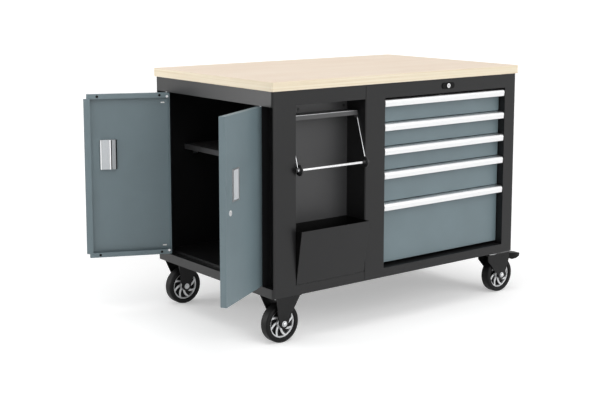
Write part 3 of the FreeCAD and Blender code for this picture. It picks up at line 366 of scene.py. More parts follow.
# cabinet modules: bent sheet with rounded outer corners
shellSizes = {"left": -0.595, "split": -0.185, "right": 0.595, "front": -0.375, "back": 0.375, "bottom": 0.175,
              "top": 0.885, "floorTop": 0.208, "railUnder": 0.832, "sheet": 0.0015, "corner": 0.012, "post": 0.062,
              "jamb": 0.032, "recessLeft": -0.498, "recessRight": -0.188, "recessLow": 0.2095, "recessHigh": 0.834,
              "bayLeft": -0.094, "bayRight": 0.532, "ease": 0.0006, "seam": 0.0008, "sill": 0.008, "postEdge": 0.004,
              "channel": 0.006, "lock": (0.219, 0.8585), "lockHole": 0.0095, "past": 0.004, "far": 0.01,
              "litBackFacing": -0.7}


def lockBore():
    s = shellSizes
    bore = bmesh.new()
    roundBar(bore, s["lockHole"], -s["past"], s["past"], (s["lock"][0], s["front"], s["lock"][1]), "y", steps=32)
    return bore


def makeShell(name, x, lowEnd, gaps, extras, bore=None):
    s = shellSizes
    t, far = s["sheet"], s["far"]
    outer = x[0] if lowEnd else x[1]
    shell = objectFrom(name, roundBlock((x[0], s["front"], s["bottom"]), (x[1], s["back"], s["top"]), s["corner"],
                                        [(outer, s["front"]), (outer, s["back"])]))
    inside = (x[0] + t, s["front"] + t), (x[1] - t, s["back"] - t)
    end = inside[0][0] if lowEnd else inside[1][0]
    bends = [(end, inside[0][1]), (end, inside[1][1])]
    combine(shell, roundBlock((*inside[0], s["floorTop"]), (*inside[1], s["top"] - t), s["corner"] - t, bends),
            "DIFFERENCE")
    underX = (inside[0][0], x[1] + far) if lowEnd else (x[0] - far, inside[1][0])
    combine(shell, roundBlock((underX[0], inside[0][1], s["bottom"] - far),
                              (underX[1], inside[1][1], s["floorTop"] - t), s["corner"] - t, bends), "DIFFERENCE")
    for low, high in gaps:
        combine(shell, plainBlock(low, high), "DIFFERENCE")
    for low, high in extras:
        combine(shell, plainBlock(low, high), "UNION")
    if bore is not None:
        combine(shell, bore, "DIFFERENCE")
    return softEdges(shell, s["ease"])


def makeShells():
    s = shellSizes
    t, past = s["sheet"], s["past"]
    nearPost, farPost = s["front"] + s["post"], s["back"] - s["post"]
    doorway = ((s["left"] - past, nearPost, s["floorTop"]), (s["left"] + past, farPost, s["railUnder"]))
    recess = ((s["recessLeft"], s["front"] - past, s["recessLow"]),
              (s["recessRight"], s["front"] + past, s["recessHigh"]))
    inner = s["left"] + s["jamb"]
    jambs = [((s["left"] + t / 2, nearPost - t, s["floorTop"] - t / 2), (inner, nearPost, s["railUnder"] + t)),
             ((s["left"] + t / 2, farPost, s["floorTop"] - t / 2), (inner, farPost + t, s["railUnder"] + t)),
             ((s["left"] + t / 2, nearPost - t, s["railUnder"]), (inner, farPost + t, s["railUnder"] + t)),
             ((inner - t, nearPost - t / 2, s["floorTop"] - t / 2),
              (inner, farPost + t / 2, s["floorTop"] + s["sill"]))]
    # the posts are channels, open to the left, with a back at the jambs' depth
    deep = s["left"] + s["channel"]
    channels = [((s["left"] - past, s["front"] + s["postEdge"], s["floorTop"]), (deep, nearPost - t, s["railUnder"])),
                ((s["left"] - past, farPost + t, s["floorTop"]), (deep, s["back"] - s["postEdge"], s["railUnder"]))]
    jambs += [((inner - t, s["front"] + t / 2, s["floorTop"] - t / 2), (inner, nearPost - t / 2, s["railUnder"] + t)),
              ((inner - t, farPost + t / 2, s["floorTop"] - t / 2), (inner, s["back"] - t / 2, s["railUnder"] + t))]
    left = makeShell("doorModule", (s["left"], s["split"] - s["seam"]), True, (doorway, recess, *channels), jambs)
    addPiece(left, "cabinet", blackCoat, "black_steel", "door_cabinet")
    mouth = ((s["bayLeft"], s["front"] - past, s["floorTop"]), (s["bayRight"], s["front"] + past, s["railUnder"]))
    right = makeShell("drawerModule", (s["split"] + s["seam"], s["right"]), False, (mouth,), (), lockBore())
    addPiece(right, "cabinet", blackCoat, "black_steel", "drawer_cabinet")


def makeLiner():
    # the back is painted a lighter grey as painted light, the side walls keep the plain black coat
    liner = softEdges(nodeCopy("recess_liner", "recessLiner"), shellSizes["ease"])
    paintFaces(liner, (linerGreyAndLitBack, blackCoat), lambda face: face.normal.y >= shellSizes["litBackFacing"])
    addPiece(liner, "cabinet", None, "black_steel", "recess_liner")


makeShells()
makeLiner()
# the shelf takes the lightened black as painted light
dressed("shelf", "cupboardShelf", "cabinet", litBlackCoat, "black_steel", shellSizes["ease"])
print("cabinet shells made")

# doors: folded pans with holes in their lips
doorSizes = {"hinge": (-0.590, 0.302), "frontAngle": 121, "rearAngle": -114, "lipHole": 0.0052, "lipLow": 0.2195,
             "lipHigh": 0.8205, "holePlaces": (0.030, 0.262), "boreHalf": 0.003, "lip": 0.016, "ease": 0.0007,
             "low": 0.2105, "high": 0.8295, "sheet": 0.0015}
lockSizes = {"slotHalf": 0.0012, "slotReach": 0.0042, "slotDeep": 0.0025, "slotOut": 0.002, "near": 0.0001,
             "ease": 0.0005, "door": (0.2675, 0.515)}
bushSizes = {"low": (-0.0033, -0.0062), "high": (0.0120, 0.0085), "tall": 0.007, "bore": 0.0042, "past": 0.002,
             "ease": 0.0008, "padLow": (0.0166, 0.012), "padHigh": (0.0180, 0.026), "padHalf": 0.0022, "padIn": 0.036}
# steps and bands are in millimetres across the pull; a band ends at its first number and has the material of its
# second; the bands are painted highlights and painted shade
pullSizes = {"centre": (0.2225, 0.601), "floor": 0.0088, "rib": 0.0012, "ribSink": 0.0005, "spread": 0.006,
             "half": 0.0007, "reach": 0.034, "ease": 0.0005, "backHalf": 0.031, "backReach": 0.056, "backEase": 0.0004,
             "skin": -0.0034, "past": 0.003, "hollow": 0.0101, "inset": 0.0008, "insetFar": 0.004,
             "steps": ((-31, 13), (-27, 13), (-26.5, 11.2), (3, 11.2), (3.5, 13.6), (8, 13.6), (8.5, 10.6), (11, 10.6),
                       (11.5, 11.6), (26, 11.6), (31, 7)),
             "bands": ((-26.6, 0), (3.2, 1), (8.3, 0), (11.2, 2), (26.5, 3), (99, 2))}


def doorFrame(side):
    x, y = doorSizes["hinge"]
    angle = doorSizes["frontAngle"] if side > 0 else doorSizes["rearAngle"]
    return Matrix.Translation((x, -side * y, 0)) @ Matrix.Rotation(math.radians(angle), 4, "Z")


def makeDoor(end, side):
    d = doorSizes
    door = nodeCopy(f"{end}_door", f"{end}Door")
    reach = d["boreHalf"]
    holes = bmesh.new()
    for along in d["holePlaces"]:
        for height in (d["lipLow"], d["lipHigh"]):
            roundBar(holes, d["lipHole"], -reach, reach, (d["lip"], side * along, height), "x", steps=20)
    holes.transform(doorFrame(side))
    combine(door, holes, "DIFFERENCE")
    softEdges(door, d["ease"])
    addPiece(door, f"{end}_door_leaf", slateCoat, "slate_steel", f"{end}_door")


def sidedBlock(bm, low, high, side):
    # drawn for the front door, mirrored for the rear one
    near, far = sorted((side * low[1], side * high[1]))
    cuboid(bm, (low[0], near, low[2]), (high[0], far, high[2]))


def makeBushes(end, side):
    # white bushes in the pan's corners, bored for the hinge pins
    s, d = bushSizes, doorSizes
    blocks = bmesh.new()
    heights = (d["low"] + d["sheet"], d["high"] - d["sheet"] - s["tall"])
    for height in heights:
        sidedBlock(blocks, (*s["low"], height), (*s["high"], height + s["tall"]), side)
    blocks.transform(doorFrame(side))
    bushes = objectFrom(f"{end}Bushes", blocks)
    bores = bmesh.new()
    for height in heights:
        roundBar(bores, s["bore"], -s["past"], s["tall"] + s["past"], (d["hinge"][0], -side * d["hinge"][1], height),
                 "z", steps=24)
    combine(bushes, bores, "DIFFERENCE")
    softEdges(bushes, s["ease"])
    pads = bmesh.new()
    for height in (d["low"] + s["padIn"], d["high"] - s["padIn"]):
        sidedBlock(pads, (*s["padLow"], height - s["padHalf"]), (*s["padHigh"], height + s["padHalf"]), side)
    pads.transform(doorFrame(side))
    combine(bushes, pads, "UNION")
    addPiece(bushes, f"{end}_door_leaf", whiteNylon, None)


def makePull(end, side):
    # a cup with two fine ribs on its floor
    s = pullSizes
    pull = nodeCopy(f"{end}_door_pull", f"{end}Pull")
    ribs = bmesh.new()
    y, z = s["centre"]
    for shift in (-s["spread"], s["spread"]):
        cuboid(ribs, (s["floor"] - s["rib"], side * y + shift - s["half"], z - s["reach"]),
               (s["floor"] + s["ribSink"], side * y + shift + s["half"], z + s["reach"]))
    ribs.transform(doorFrame(side))
    combine(pull, ribs, "UNION")
    softEdges(pull, s["ease"])
    addPiece(pull, f"{end}_door_leaf", pullSatin, "aluminium", f"{end}_door_pull")


def makePullBack(end, side):
    # stepped extrusion that covers the cup on the inside of the door
    s = pullSizes
    y, z = s["centre"]
    edge, skin, inset = s["backHalf"] * 1000, s["skin"] * 1000, s["inset"]
    section = [(-edge, skin), *s["steps"], (edge, skin)]
    bm = extruded([(x / 1000, side * (y - a / 1000), z - s["backReach"]) for a, x in section],
                  (0, 0, 2 * s["backReach"]))
    bm.transform(doorFrame(side))
    cover = objectFrom(f"{end}PullBack", bm)
    hollow = plainBlock((s["skin"] - s["past"], side * y - s["backHalf"] + inset, z - s["backReach"] + inset),
                        (s["hollow"], side * y + s["backHalf"] - s["insetFar"], z + s["backReach"] - inset))
    hollow.transform(doorFrame(side))
    combine(cover, hollow, "DIFFERENCE")
    softEdges(cover, s["backEase"])
    back = doorFrame(side).inverted()

    def lightBandOf(face):
        along = (y - side * (back @ face.center).y) * 1000
        return next(index for until, index in s["bands"] if along < until)

    # painted light on one aluminium piece: bright satin as painted highlights on its edges, darker satin and black as
    # painted shade in the groove and beside the cup's far wall
    paintFaces(cover, (handleSatinAndHighlight, pullSatin, bezelBlackAndShade, pullShadeSatin), lightBandOf)
    addPiece(cover, f"{end}_door_leaf", None, "aluminium")


def makeBarrel(barrel, node, body, place, out, up):
    # a lock barrel with a key slot in its face, the slot's faces painted black as painted shade; place is the face's
    # middle and out the way it looks
    s = lockSizes
    softEdges(barrel, s["ease"])
    across = up.cross(out)
    turn = Matrix((across, up, out)).transposed().to_4x4()
    turn.translation = place
    slot = plainBlock((-s["slotHalf"], -s["slotReach"], -s["slotDeep"]), (s["slotHalf"], s["slotReach"], s["slotOut"]))
    slot.transform(turn)
    combine(barrel, slot, "DIFFERENCE")
    back, near = turn.inverted(), s["near"]

    def inSlot(face):
        x, y, z = back @ face.center
        return (abs(x) < s["slotHalf"] + near and abs(y) < s["slotReach"] + near
                and -s["slotDeep"] - near < z < -2 * near)

    # the slot's faces are painted black as painted shade
    paintFaces(barrel, (lockSatin, bezelBlackAndShade), inSlot)
    addPiece(barrel, body, None, "chrome", node)


frontAndRear = (("front", 1), ("rear", -1))
for make in (makeDoor, makeBushes, makePull, makePullBack):
    for end, side in frontAndRear:
        make(end, side)
hung = doorFrame(1)
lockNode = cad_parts["door_lock_barrel"].data
lockFace = min((hung.inverted() @ vert.co).x for vert in lockNode.vertices)
makeBarrel(nodeCopy("door_lock_barrel", "doorLockBarrel"), "door_lock_barrel", "door_lock",
           hung @ Vector((lockFace, *lockSizes["door"])), hung.to_3x3() @ Vector((-1, 0, 0)), Vector((0, 0, 1)))
dressed("door_lock_cam", "doorLockCam", "door_lock", zincBright, "zinc_steel", lockSizes["ease"])
print("doors made")

# drawers: slate fronts on dark trays, with long satin handles
drawerSizes = {"back": -0.3275, "ease": 0.0006, "handleEase": 0.0007, "lockPlane": -0.3782, "lockShare": 0.2,
               "bezelEase": 0.0004}


def pressedBack(obj):
    # what stands in front of the lock's plane is pressed back toward it
    plane = drawerSizes["lockPlane"]
    for vert in obj.data.vertices:
        if vert.co.y < plane:
            vert.co.y = plane + drawerSizes["lockShare"] * (vert.co.y - plane)
    return obj


def makeDrawers():
    s = drawerSizes
    for count in range(1, 6):
        body = f"drawer_{count}_box"
        drawer = softEdges(nodeCopy(f"drawer_{count}", f"drawerBox{count}", dissolve=False), s["ease"])
        paintFaces(drawer, (slateCoat, linerGreyAndLitBack), lambda face: face.center.y >= s["back"])
        addPiece(drawer, body, None, "slate_steel", f"drawer_{count}")
        dressed(f"drawer_handle_{count}", f"drawerGrip{count}", body, handleSatinAndHighlight, "aluminium", s["handleEase"],
                angle=28)


def makeDrawerLock():
    bezel = softEdges(pressedBack(nodeCopy("drawer_lock_bezel", "lockBezel")), drawerSizes["bezelEase"])
    addPiece(bezel, "cabinet", bezelBlackAndShade, "black_plastic", "drawer_lock_bezel")
    barrel = pressedBack(nodeCopy("drawer_lock_barrel", "drawerLockBarrel"))
    x, z = shellSizes["lock"]
    face = Vector((x, min(vert.co.y for vert in barrel.data.vertices), z))
    makeBarrel(barrel, "drawer_lock_barrel", "drawer_lock", face, Vector((0, -1, 0)), Vector((0, 0, 1)))


makeDrawers()
makeDrawerLock()
print("drawers made")

# paper holder and bin
holderSizes = {"left": -0.4925, "right": -0.1935, "rod": (-0.3833, 0.612), "discRadius": 0.0200, "discBore": 0.005,
               "disc": 0.0050, "round": 0.001, "play": 0.0003, "knobRadius": 0.0085, "knob": 0.004,
               "nose": (-0.3388, 0.7921), "bead": 0.0012, "rodEase": 0.0008, "fineEase": 0.0003,
               "bracketEase": 0.0005, "binEase": 0.0006, "shadedSideFacing": 0.7}


def makeDiscs():
    s = holderSizes
    bm = bmesh.new()
    r, w, e, bore, knob = s["discRadius"], s["disc"], s["round"], s["discBore"], s["knobRadius"]
    tip = w + s["knob"]
    shape = [(bore, 0), (r - e, 0), (r, e), (r, w - e), (r - e, w), (knob, w - e / 2), (knob - e, tip), (bore, tip)]
    for start, side in ((s["left"] + s["play"], 1), (s["right"] - s["play"], -1)):
        lathe(bm, [(a, side * b) for a, b in shape], (start, *s["rod"]), "x", steps=48)
    discs = softEdges(objectFrom("paperDiscs", bm), s["fineEase"], segments=1)
    addPiece(discs, "paper_bar", blackMoulding, "black_plastic", "paper_discs")


def makeRod():
    # chrome bar, black end caps
    s = holderSizes
    low, high = s["left"] - s["round"], s["right"] + s["round"]
    rod = softEdges(nodeCopy("paper_rod", "paperRod"), s["rodEase"])
    paintFaces(rod, (chromeBright, blackMoulding), lambda face: not low < face.center.x < high)
    addPiece(rod, "paper_bar", None, "chrome", "paper_rod")


def makeFoldHighlight():
    # painted highlight: a thin bright zinc rod along the bracket's fold
    s = holderSizes
    bm = bmesh.new()
    low, high, e = s["left"], s["right"], s["round"]
    shape = ((0, low + e), (s["bead"], low + 2 * e), (s["bead"], high - 2 * e), (0, high - e))
    lathe(bm, shape, (0, *s["nose"]), "x", steps=16, closed=False)
    bead = softEdges(objectFrom("foldHighlightBead", bm), s["fineEase"], segments=1)
    addPiece(bead, "cabinet", zincBright, "zinc_steel")


def makeBin():
    # painted shade: the inside and the sides get the darkest black
    s = holderSizes
    low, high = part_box("bin")
    middle = (low + high) / 2
    pail = softEdges(nodeCopy("bin", "wasteBin"), s["binEase"])
    paintFaces(pail, (blackCoat, bezelBlackAndShade),
               lambda face: face.normal.dot(middle - face.center) > 0 or abs(face.normal.x) > s["shadedSideFacing"])
    addPiece(pail, "waste_bin", None, "black_steel", "bin")


makeDiscs()
makeRod()
makeFoldHighlight()
# the bracket takes the lightened black as painted light
dressed("paper_bracket", "paperBracket", "cabinet", litBlackCoat, "black_steel", holderSizes["bracketEase"])
dressed("paper_arms", "paperArms", "paper_arm_pair", zincBright, "zinc_steel", holderSizes["fineEase"],
        segments=1, angle=50)
makeBin()
print("paper holder and bin made")

# castor wheels: a rubber tyre, and silver rims whose vanes Geometry Nodes turn about the hub
wheelSizes = {"tread": 0.070, "half": 0.020, "shoulder": 0.008, "seat": 0.053, "web": 0.005, "hub": 0.014,
              "hubHalf": 0.024, "bore": 0.00605, "round": 0.001, "coverFace": 0.014, "coverIn": 0.0143,
              "coverOut": 0.0527, "coverRound": 0.0012, "coverPlay": 0.0001, "bossRise": 0.0016, "pocketIn": 0.019,
              "pocketOut": 0.047, "vanes": 8, "firstArc": 17, "lastArc": 35, "sweep": 24, "vane": 0.0035,
              "overlap": 0.0006, "bow": 0.037, "ease": 0.0007}
wheelPlaces = {"front_fixed": ((-0.523, -0.314, 0.070), "front_fixed_wheel"),
               "rear_fixed": ((-0.523, 0.314, 0.070), "rear_fixed_wheel"),
               "front_castor": ((0.573, -0.314, 0.070), "front_swivel_wheel"),
               "rear_castor": ((0.573, 0.314, 0.070), "rear_swivel_wheel")}


def polar(radius, degrees):
    return Vector((radius * math.cos(math.radians(degrees)), radius * math.sin(math.radians(degrees))))


def bowed(first, last, radius, steps=10):
    # points on an arc from first to last, with its centre on the left
    chord = last - first
    half = chord.length / 2
    side = Vector((-chord.y, chord.x)).normalized()
    middle = (first + last) / 2 + side * math.sqrt(radius * radius - half * half)
    start = math.atan2(*(first - middle).yx)
    swing = 2 * math.asin(half / radius)
    return [middle + Vector((math.cos(start + swing * k / steps), math.sin(start + swing * k / steps))) * radius
            for k in range(steps + 1)]


def vaneMesh():
    s = wheelSizes
    pitch = 360 / s["vanes"]
    inner, outer = s["pocketIn"] - s["overlap"], s["pocketOut"] + s["overlap"]
    trailing = bowed(polar(inner, s["firstArc"]), polar(outer, s["sweep"] + s["lastArc"]), s["bow"])
    leading = bowed(polar(inner, pitch), polar(outer, pitch + s["sweep"]), s["bow"])
    bm = extruded([(spot.x, s["vane"] - s["coverFace"], spot.y) for spot in trailing + leading[::-1]],
                  (0, s["overlap"] - s["vane"], 0))
    return softEdges(objectFrom("vane", bm), s["ease"])


def openTree(name, inputs, output):
    tree = bpy.data.node_groups.new(name, "GeometryNodeTree")
    for label, kind in inputs:
        tree.interface.new_socket(label, in_out="INPUT", socket_type=kind)
    tree.interface.new_socket(output, in_out="OUTPUT", socket_type="NodeSocketGeometry")
    return tree


def closeTree(tree, source, place):
    # the instances are made real, painted and handed over
    add, link = tree.nodes.new, tree.links.new
    real, paint, result = add("GeometryNodeRealizeInstances"), add("GeometryNodeSetMaterial"), add("NodeGroupOutput")
    link(place.outputs["Instances"], real.inputs["Geometry"])
    link(real.outputs["Geometry"], paint.inputs["Geometry"])
    link(source.outputs["Finish"], paint.inputs["Material"])
    link(paint.outputs["Geometry"], result.inputs[0])
    return tree


def vaneTree():
    inputs = (("Vane", "NodeSocketGeometry"), ("Vane Count", "NodeSocketInt"), ("Finish", "NodeSocketMaterial"))
    tree = openTree("vanesAboutHub", inputs, "Rim")
    add, link = tree.nodes.new, tree.links.new
    source, points, place = add("NodeGroupInput"), add("GeometryNodePoints"), add("GeometryNodeInstanceOnPoints")
    link(source.outputs["Vane Count"], points.inputs["Count"])
    index, share, turn, about = (add("GeometryNodeInputIndex"), add("ShaderNodeMath"), add("ShaderNodeMath"),
                                 add("ShaderNodeCombineXYZ"))
    share.operation, turn.operation = "DIVIDE", "MULTIPLY"
    link(index.outputs["Index"], share.inputs[0])
    link(source.outputs["Vane Count"], share.inputs[1])
    link(share.outputs["Value"], turn.inputs[0])
    turn.inputs[1].default_value = 2 * math.pi
    link(turn.outputs["Value"], about.inputs["Y"])
    link(points.outputs["Points"], place.inputs["Points"])
    link(source.outputs["Vane"], place.inputs["Instance"])
    link(about.outputs["Vector"], place.inputs["Rotation"])
    return closeTree(tree, source, place)


def growNodes(obj, tree, **values):
    grown = obj.modifiers.new("grown", "NODES")
    grown.node_group = tree
    names = {item.name: item.identifier for item in tree.interface.items_tree if item.item_type == "SOCKET"}
    for key, value in values.items():
        grown[names[key.replace("_", " ")]] = value
    return settle(obj)


def makeWheels():
    s = wheelSizes
    vanes = growNodes(vaneMesh(), vaneTree(), Vane_Count=s["vanes"], Finish=rimSilver)
    e, r = s["coverRound"], s["round"]
    face, web, top = s["coverFace"], s["web"] + s["coverPlay"], s["coverFace"] + s["bossRise"]
    ring = [(s["pocketOut"], web), (s["pocketOut"], face - e), (s["pocketOut"] + e, face), (s["coverOut"] - e, face),
            (s["coverOut"], face - e), (s["coverOut"], web)]
    boss = [(s["coverIn"], web), (s["coverIn"], face + s["overlap"]), (s["coverIn"] + e, top),
            (s["pocketIn"] - e, top), (s["pocketIn"], face), (s["pocketIn"], web)]
    shoulder = [(s["tread"] - s["shoulder"] * (1 - math.sin(math.radians(a))),
                 s["half"] - s["shoulder"] * (1 - math.cos(math.radians(a)))) for a in range(0, 91, 15)]
    half = [(s["bore"], s["hubHalf"]), (s["hub"] - r, s["hubHalf"]), (s["hub"], s["hubHalf"] - r),
            (s["hub"], s["web"]), (s["seat"], s["web"]), (s["seat"], s["half"] - r), (s["seat"] + r, s["half"]),
            *shoulder]
    section = half + [(a, -b) for a, b in half[::-1]]
    for end, (centre, body) in wheelPlaces.items():
        bm = bmesh.new()
        lathe(bm, section, centre, "y", steps=96)
        addPiece(smoothFaces(objectFrom(f"{end}Tyre", bm)), body, tyreRubber, "tyre", f"{end}_tyre")
        bm = bmesh.new()
        for side in (-1, 1):
            for shape in (ring, boss):
                lathe(bm, [(a, side * b) for a, b in shape], centre, "y", steps=80)
        for turn in (0, math.pi):
            part = vanes.data.copy()
            part.transform(Matrix.Translation(centre) @ Matrix.Rotation(turn, 4, "Z"))
            bm.from_mesh(part)
            bpy.data.meshes.remove(part)
        addPiece(smoothFaces(objectFrom(f"{end}Rim", bm)), body, rimSilver, "rim_silver", f"{end}_rim")
    bpy.data.objects.remove(vanes)


makeWheels()
print("wheels made")

# castor frames: brackets, forks, axle bolts, swivel races and pedals
# head and race are (radius, height) in millimetres, from the leg's outer face and from the floor
castorSizes = {"legOuter": 0.0286, "swivel": (0.523, 0.314), "ease": 0.0012, "splayFrom": 0.092, "splay": 0.025,
               "legReach": 0.033, "plateUnder": 0.171, "plateGrow": 0.0135, "noseFrom": (0.585, 0.12), "nose": 0.020,
               "sharpFrom": 35,
               "head": ((0, 7), (4.5, 7), (7.3, 5.4), (8.5, 2.5), (8.5, 1.5), (10.5, 1.2), (10.5, -0.1), (6, -0.1)),
               "race": ((20, 161.5), (34.5, 161.5), (35.5, 163.5), (34.5, 165), (32.5, 166), (32.5, 170.4),
                        (20, 170.4))}
# pedal sections in millimetres: along, top, bottom and half width from the pivot
pedalSizes = {"pivot": (0.575, 0.147), "pin": 0.003, "ease": 0.0022, "sharpFrom": 40,
              "sections": ((-8, 7, -4, 22.4), (16, 7, -5, 22.4), (34, 6.8, -10, 22.4), (48, 6, -16.5, 23),
                           (60, 5, -22.5, 27.5), (84, 2, -21.5, 28), (104, -2.5, -16.5, 24), (115, -5, -13.5, 16.5),
                           (120.5, -7, -11, 9))}


def makeAxle(name, ends, body, *nodes):
    s = castorSizes
    bm = bmesh.new()
    half = [(r / 1000, s["legOuter"] + h / 1000) for r, h in s["head"]]
    shape = half + [(r, -y) for r, y in half[::-1]]
    for end in ends:
        lathe(bm, shape, wheelPlaces[end][0], "y", steps=40, closed=False)
    addPiece(smoothFaces(objectFrom(name, bm), s["sharpFrom"]), body, zincBright, "zinc_steel", *nodes)


def makeBrackets():
    # the legs of the fixed castors spread toward a wider top plate
    s = castorSizes
    brackets = nodeCopy("fixed_castor_brackets", "fixedBrackets")
    bm = bmesh.new()
    bm.from_mesh(brackets.data)
    bmesh.ops.bisect_plane(bm, geom=bm.verts[:] + bm.edges[:] + bm.faces[:], plane_co=(0, 0, s["splayFrom"]),
                           plane_no=(0, 0, 1))
    for vert in bm.verts:
        off = vert.co.y - math.copysign(s["swivel"][1], vert.co.y)
        rise = (vert.co.z - s["splayFrom"]) / (s["plateUnder"] - s["splayFrom"])
        if rise <= 0:
            continue
        spreadBy = s["splay"] * min(rise, 1) if abs(off) < s["legReach"] else s["plateGrow"]
        vert.co.y += math.copysign(spreadBy, off)
    bm.to_mesh(brackets.data)
    bm.free()
    softEdges(brackets, s["ease"])
    addPiece(brackets, "cabinet", castorBlack, "black_steel", "fixed_castor_brackets")


def makeFork(end):
    # the legs reach further forward at their top, toward the pedal
    s = castorSizes
    fork = nodeCopy(f"{end}_castor_fork", f"{end}Fork")
    for vert in fork.data.vertices:
        if vert.co.x > s["noseFrom"][0] and vert.co.z > s["noseFrom"][1]:
            vert.co.x += s["nose"]
    softEdges(fork, s["ease"])
    addPiece(fork, f"{end}_fork", castorBlack, "black_steel", f"{end}_castor_fork")


def makeRace(end, y):
    s = castorSizes
    bm = bmesh.new()
    lathe(bm, [(r / 1000, h / 1000) for r, h in s["race"]], (s["swivel"][0], y, 0), "z", steps=56)
    addPiece(smoothFaces(objectFrom(f"{end}Race", bm), s["sharpFrom"]), f"{end}_fork", zincBright, "zinc_steel")


def makePedal(end, y):
    # a thick tongue that narrows to a round tip, on its pin
    s = pedalSizes
    x, z = s["pivot"]
    bm = bmesh.new()
    rings = []
    for along, top, bottom, half in s["sections"]:
        spots = [(side * half, height) for side, height in ((-1, bottom), (1, bottom), (1, top), (-1, top))]
        rings.append([bm.verts.new((x + along / 1000, y + a / 1000, z + b / 1000)) for a, b in spots])
    for here, there in zip(rings, rings[1:]):
        for k in range(4):
            bm.faces.new((here[k], here[(k + 1) % 4], there[(k + 1) % 4], there[k]))
    bm.faces.new(rings[0][::-1])
    bm.faces.new(rings[-1])
    bmesh.ops.recalc_face_normals(bm, faces=bm.faces)
    pedal = softEdges(objectFrom(f"{end}Pedal", bm), s["ease"], segments=4, angle=s["sharpFrom"])
    pin = bmesh.new()
    roundBar(pin, s["pin"], -castorSizes["legOuter"], castorSizes["legOuter"], (x, y, z), "y", steps=24)
    combine(pedal, pin, "UNION")
    pedal.data.set_sharp_from_angle(angle=math.radians(s["sharpFrom"]))
    addPiece(pedal, f"{end}_pedal", bezelBlackAndShade, "black_steel", f"{end}_brake_pedal")


makeAxle("fixedAxles", ("front_fixed", "rear_fixed"), "cabinet", "fixed_castor_axles")
for end in ("front", "rear"):
    makeAxle(f"{end}SwivelAxle", (f"{end}_castor",), f"{end}_fork", f"{end}_castor_axle")
makeBrackets()
dressed("swivel_castor_plates", "swivelPlates", "cabinet", castorBlack, "black_steel", castorSizes["ease"])
for end, side in frontAndRear:
    y = -side * castorSizes["swivel"][1]
    makeFork(end)
    makeRace(end, y)
    makePedal(end, y)
print("castor frames made")

# fasteners: one node tree puts a head and a washer on each listed place
fastenerSizes = {"castor": {"head": 0.0065, "height": 0.0045, "washer": 0.009, "sides": 6},
                 "screw": {"head": 0.0042, "height": 0.0018, "washer": 0.0055, "sides": 20},
                 "rivet": {"head": 0.0040, "height": 0.0014, "washer": 0.0048, "sides": 20},
                 "holeShade": {"head": 0.0030, "height": 0.0036, "washer": 0.0049, "sides": 20},
                 "washerSides": 28, "washerHigh": 0.0012, "ease": 0.0004, "plateLong": 0.043,
                 "plateWide": {"fixed": 0.036, "swivel": 0.031}, "rivetPlace": (0.0172, 0.002), "rivetIn": 0.014,
                 "holeShadeSink": 0.0012, "screwPlaces": ((-0.412, -0.2765, 0.806), (-0.206, -0.2765, 0.806))}


def fastenerTree():
    inputs = (("Places", "NodeSocketGeometry"), ("Head Radius", "NodeSocketFloat"), ("Head Height", "NodeSocketFloat"),
              ("Washer Radius", "NodeSocketFloat"), ("Sides", "NodeSocketInt"), ("Facing", "NodeSocketVector"),
              ("Finish", "NodeSocketMaterial"))
    tree = openTree("fastenersOnPlaces", inputs, "Fasteners")
    add, link = tree.nodes.new, tree.links.new
    source, both = add("NodeGroupInput"), add("GeometryNodeJoinGeometry")
    head, washer = add("GeometryNodeMeshCylinder"), add("GeometryNodeMeshCylinder")
    link(source.outputs["Sides"], head.inputs["Vertices"])
    link(source.outputs["Head Radius"], head.inputs["Radius"])
    link(source.outputs["Head Height"], head.inputs["Depth"])
    washer.inputs["Vertices"].default_value = fastenerSizes["washerSides"]
    washer.inputs["Depth"].default_value = fastenerSizes["washerHigh"]
    link(source.outputs["Washer Radius"], washer.inputs["Radius"])
    lift, up, half = add("GeometryNodeTransform"), add("ShaderNodeCombineXYZ"), add("ShaderNodeMath")
    half.operation = "MULTIPLY"
    half.inputs[1].default_value = 0.5
    link(source.outputs["Head Height"], half.inputs[0])
    link(half.outputs["Value"], up.inputs["Z"])
    link(up.outputs["Vector"], lift.inputs["Translation"])
    link(head.outputs["Mesh"], lift.inputs["Geometry"])
    link(lift.outputs["Geometry"], both.inputs["Geometry"])
    link(washer.outputs["Mesh"], both.inputs["Geometry"])
    aim, place = add("FunctionNodeAlignRotationToVector"), add("GeometryNodeInstanceOnPoints")
    link(source.outputs["Facing"], aim.inputs["Vector"])
    link(source.outputs["Places"], place.inputs["Points"])
    link(both.outputs["Geometry"], place.inputs["Instance"])
    link(aim.outputs["Rotation"], place.inputs["Rotation"])
    return closeTree(tree, source, place)


fasteners = fastenerTree()


def placeFasteners(name, body, kind, places, facing, finish, slot):
    s = fastenerSizes[kind]
    bm = bmesh.new()
    for spot in places:
        bm.verts.new(spot)
    row = growNodes(objectFrom(name, bm), fasteners, Head_Radius=s["head"], Head_Height=s["height"],
                    Washer_Radius=s["washer"], Sides=s["sides"], Facing=facing, Finish=finish)
    softEdges(row, fastenerSizes["ease"])
    addPiece(row, body, finish, slot)


def castorBoltPlaces():
    s, (x, y) = fastenerSizes, castorSizes["swivel"]
    return [(end * x + a * s["plateLong"], side * y + b * s["plateWide"][kind], castorSizes["plateUnder"])
            for end, kind in ((-1, "fixed"), (1, "swivel")) for side in (-1, 1) for a in (-1, 1) for b in (-1, 1)]


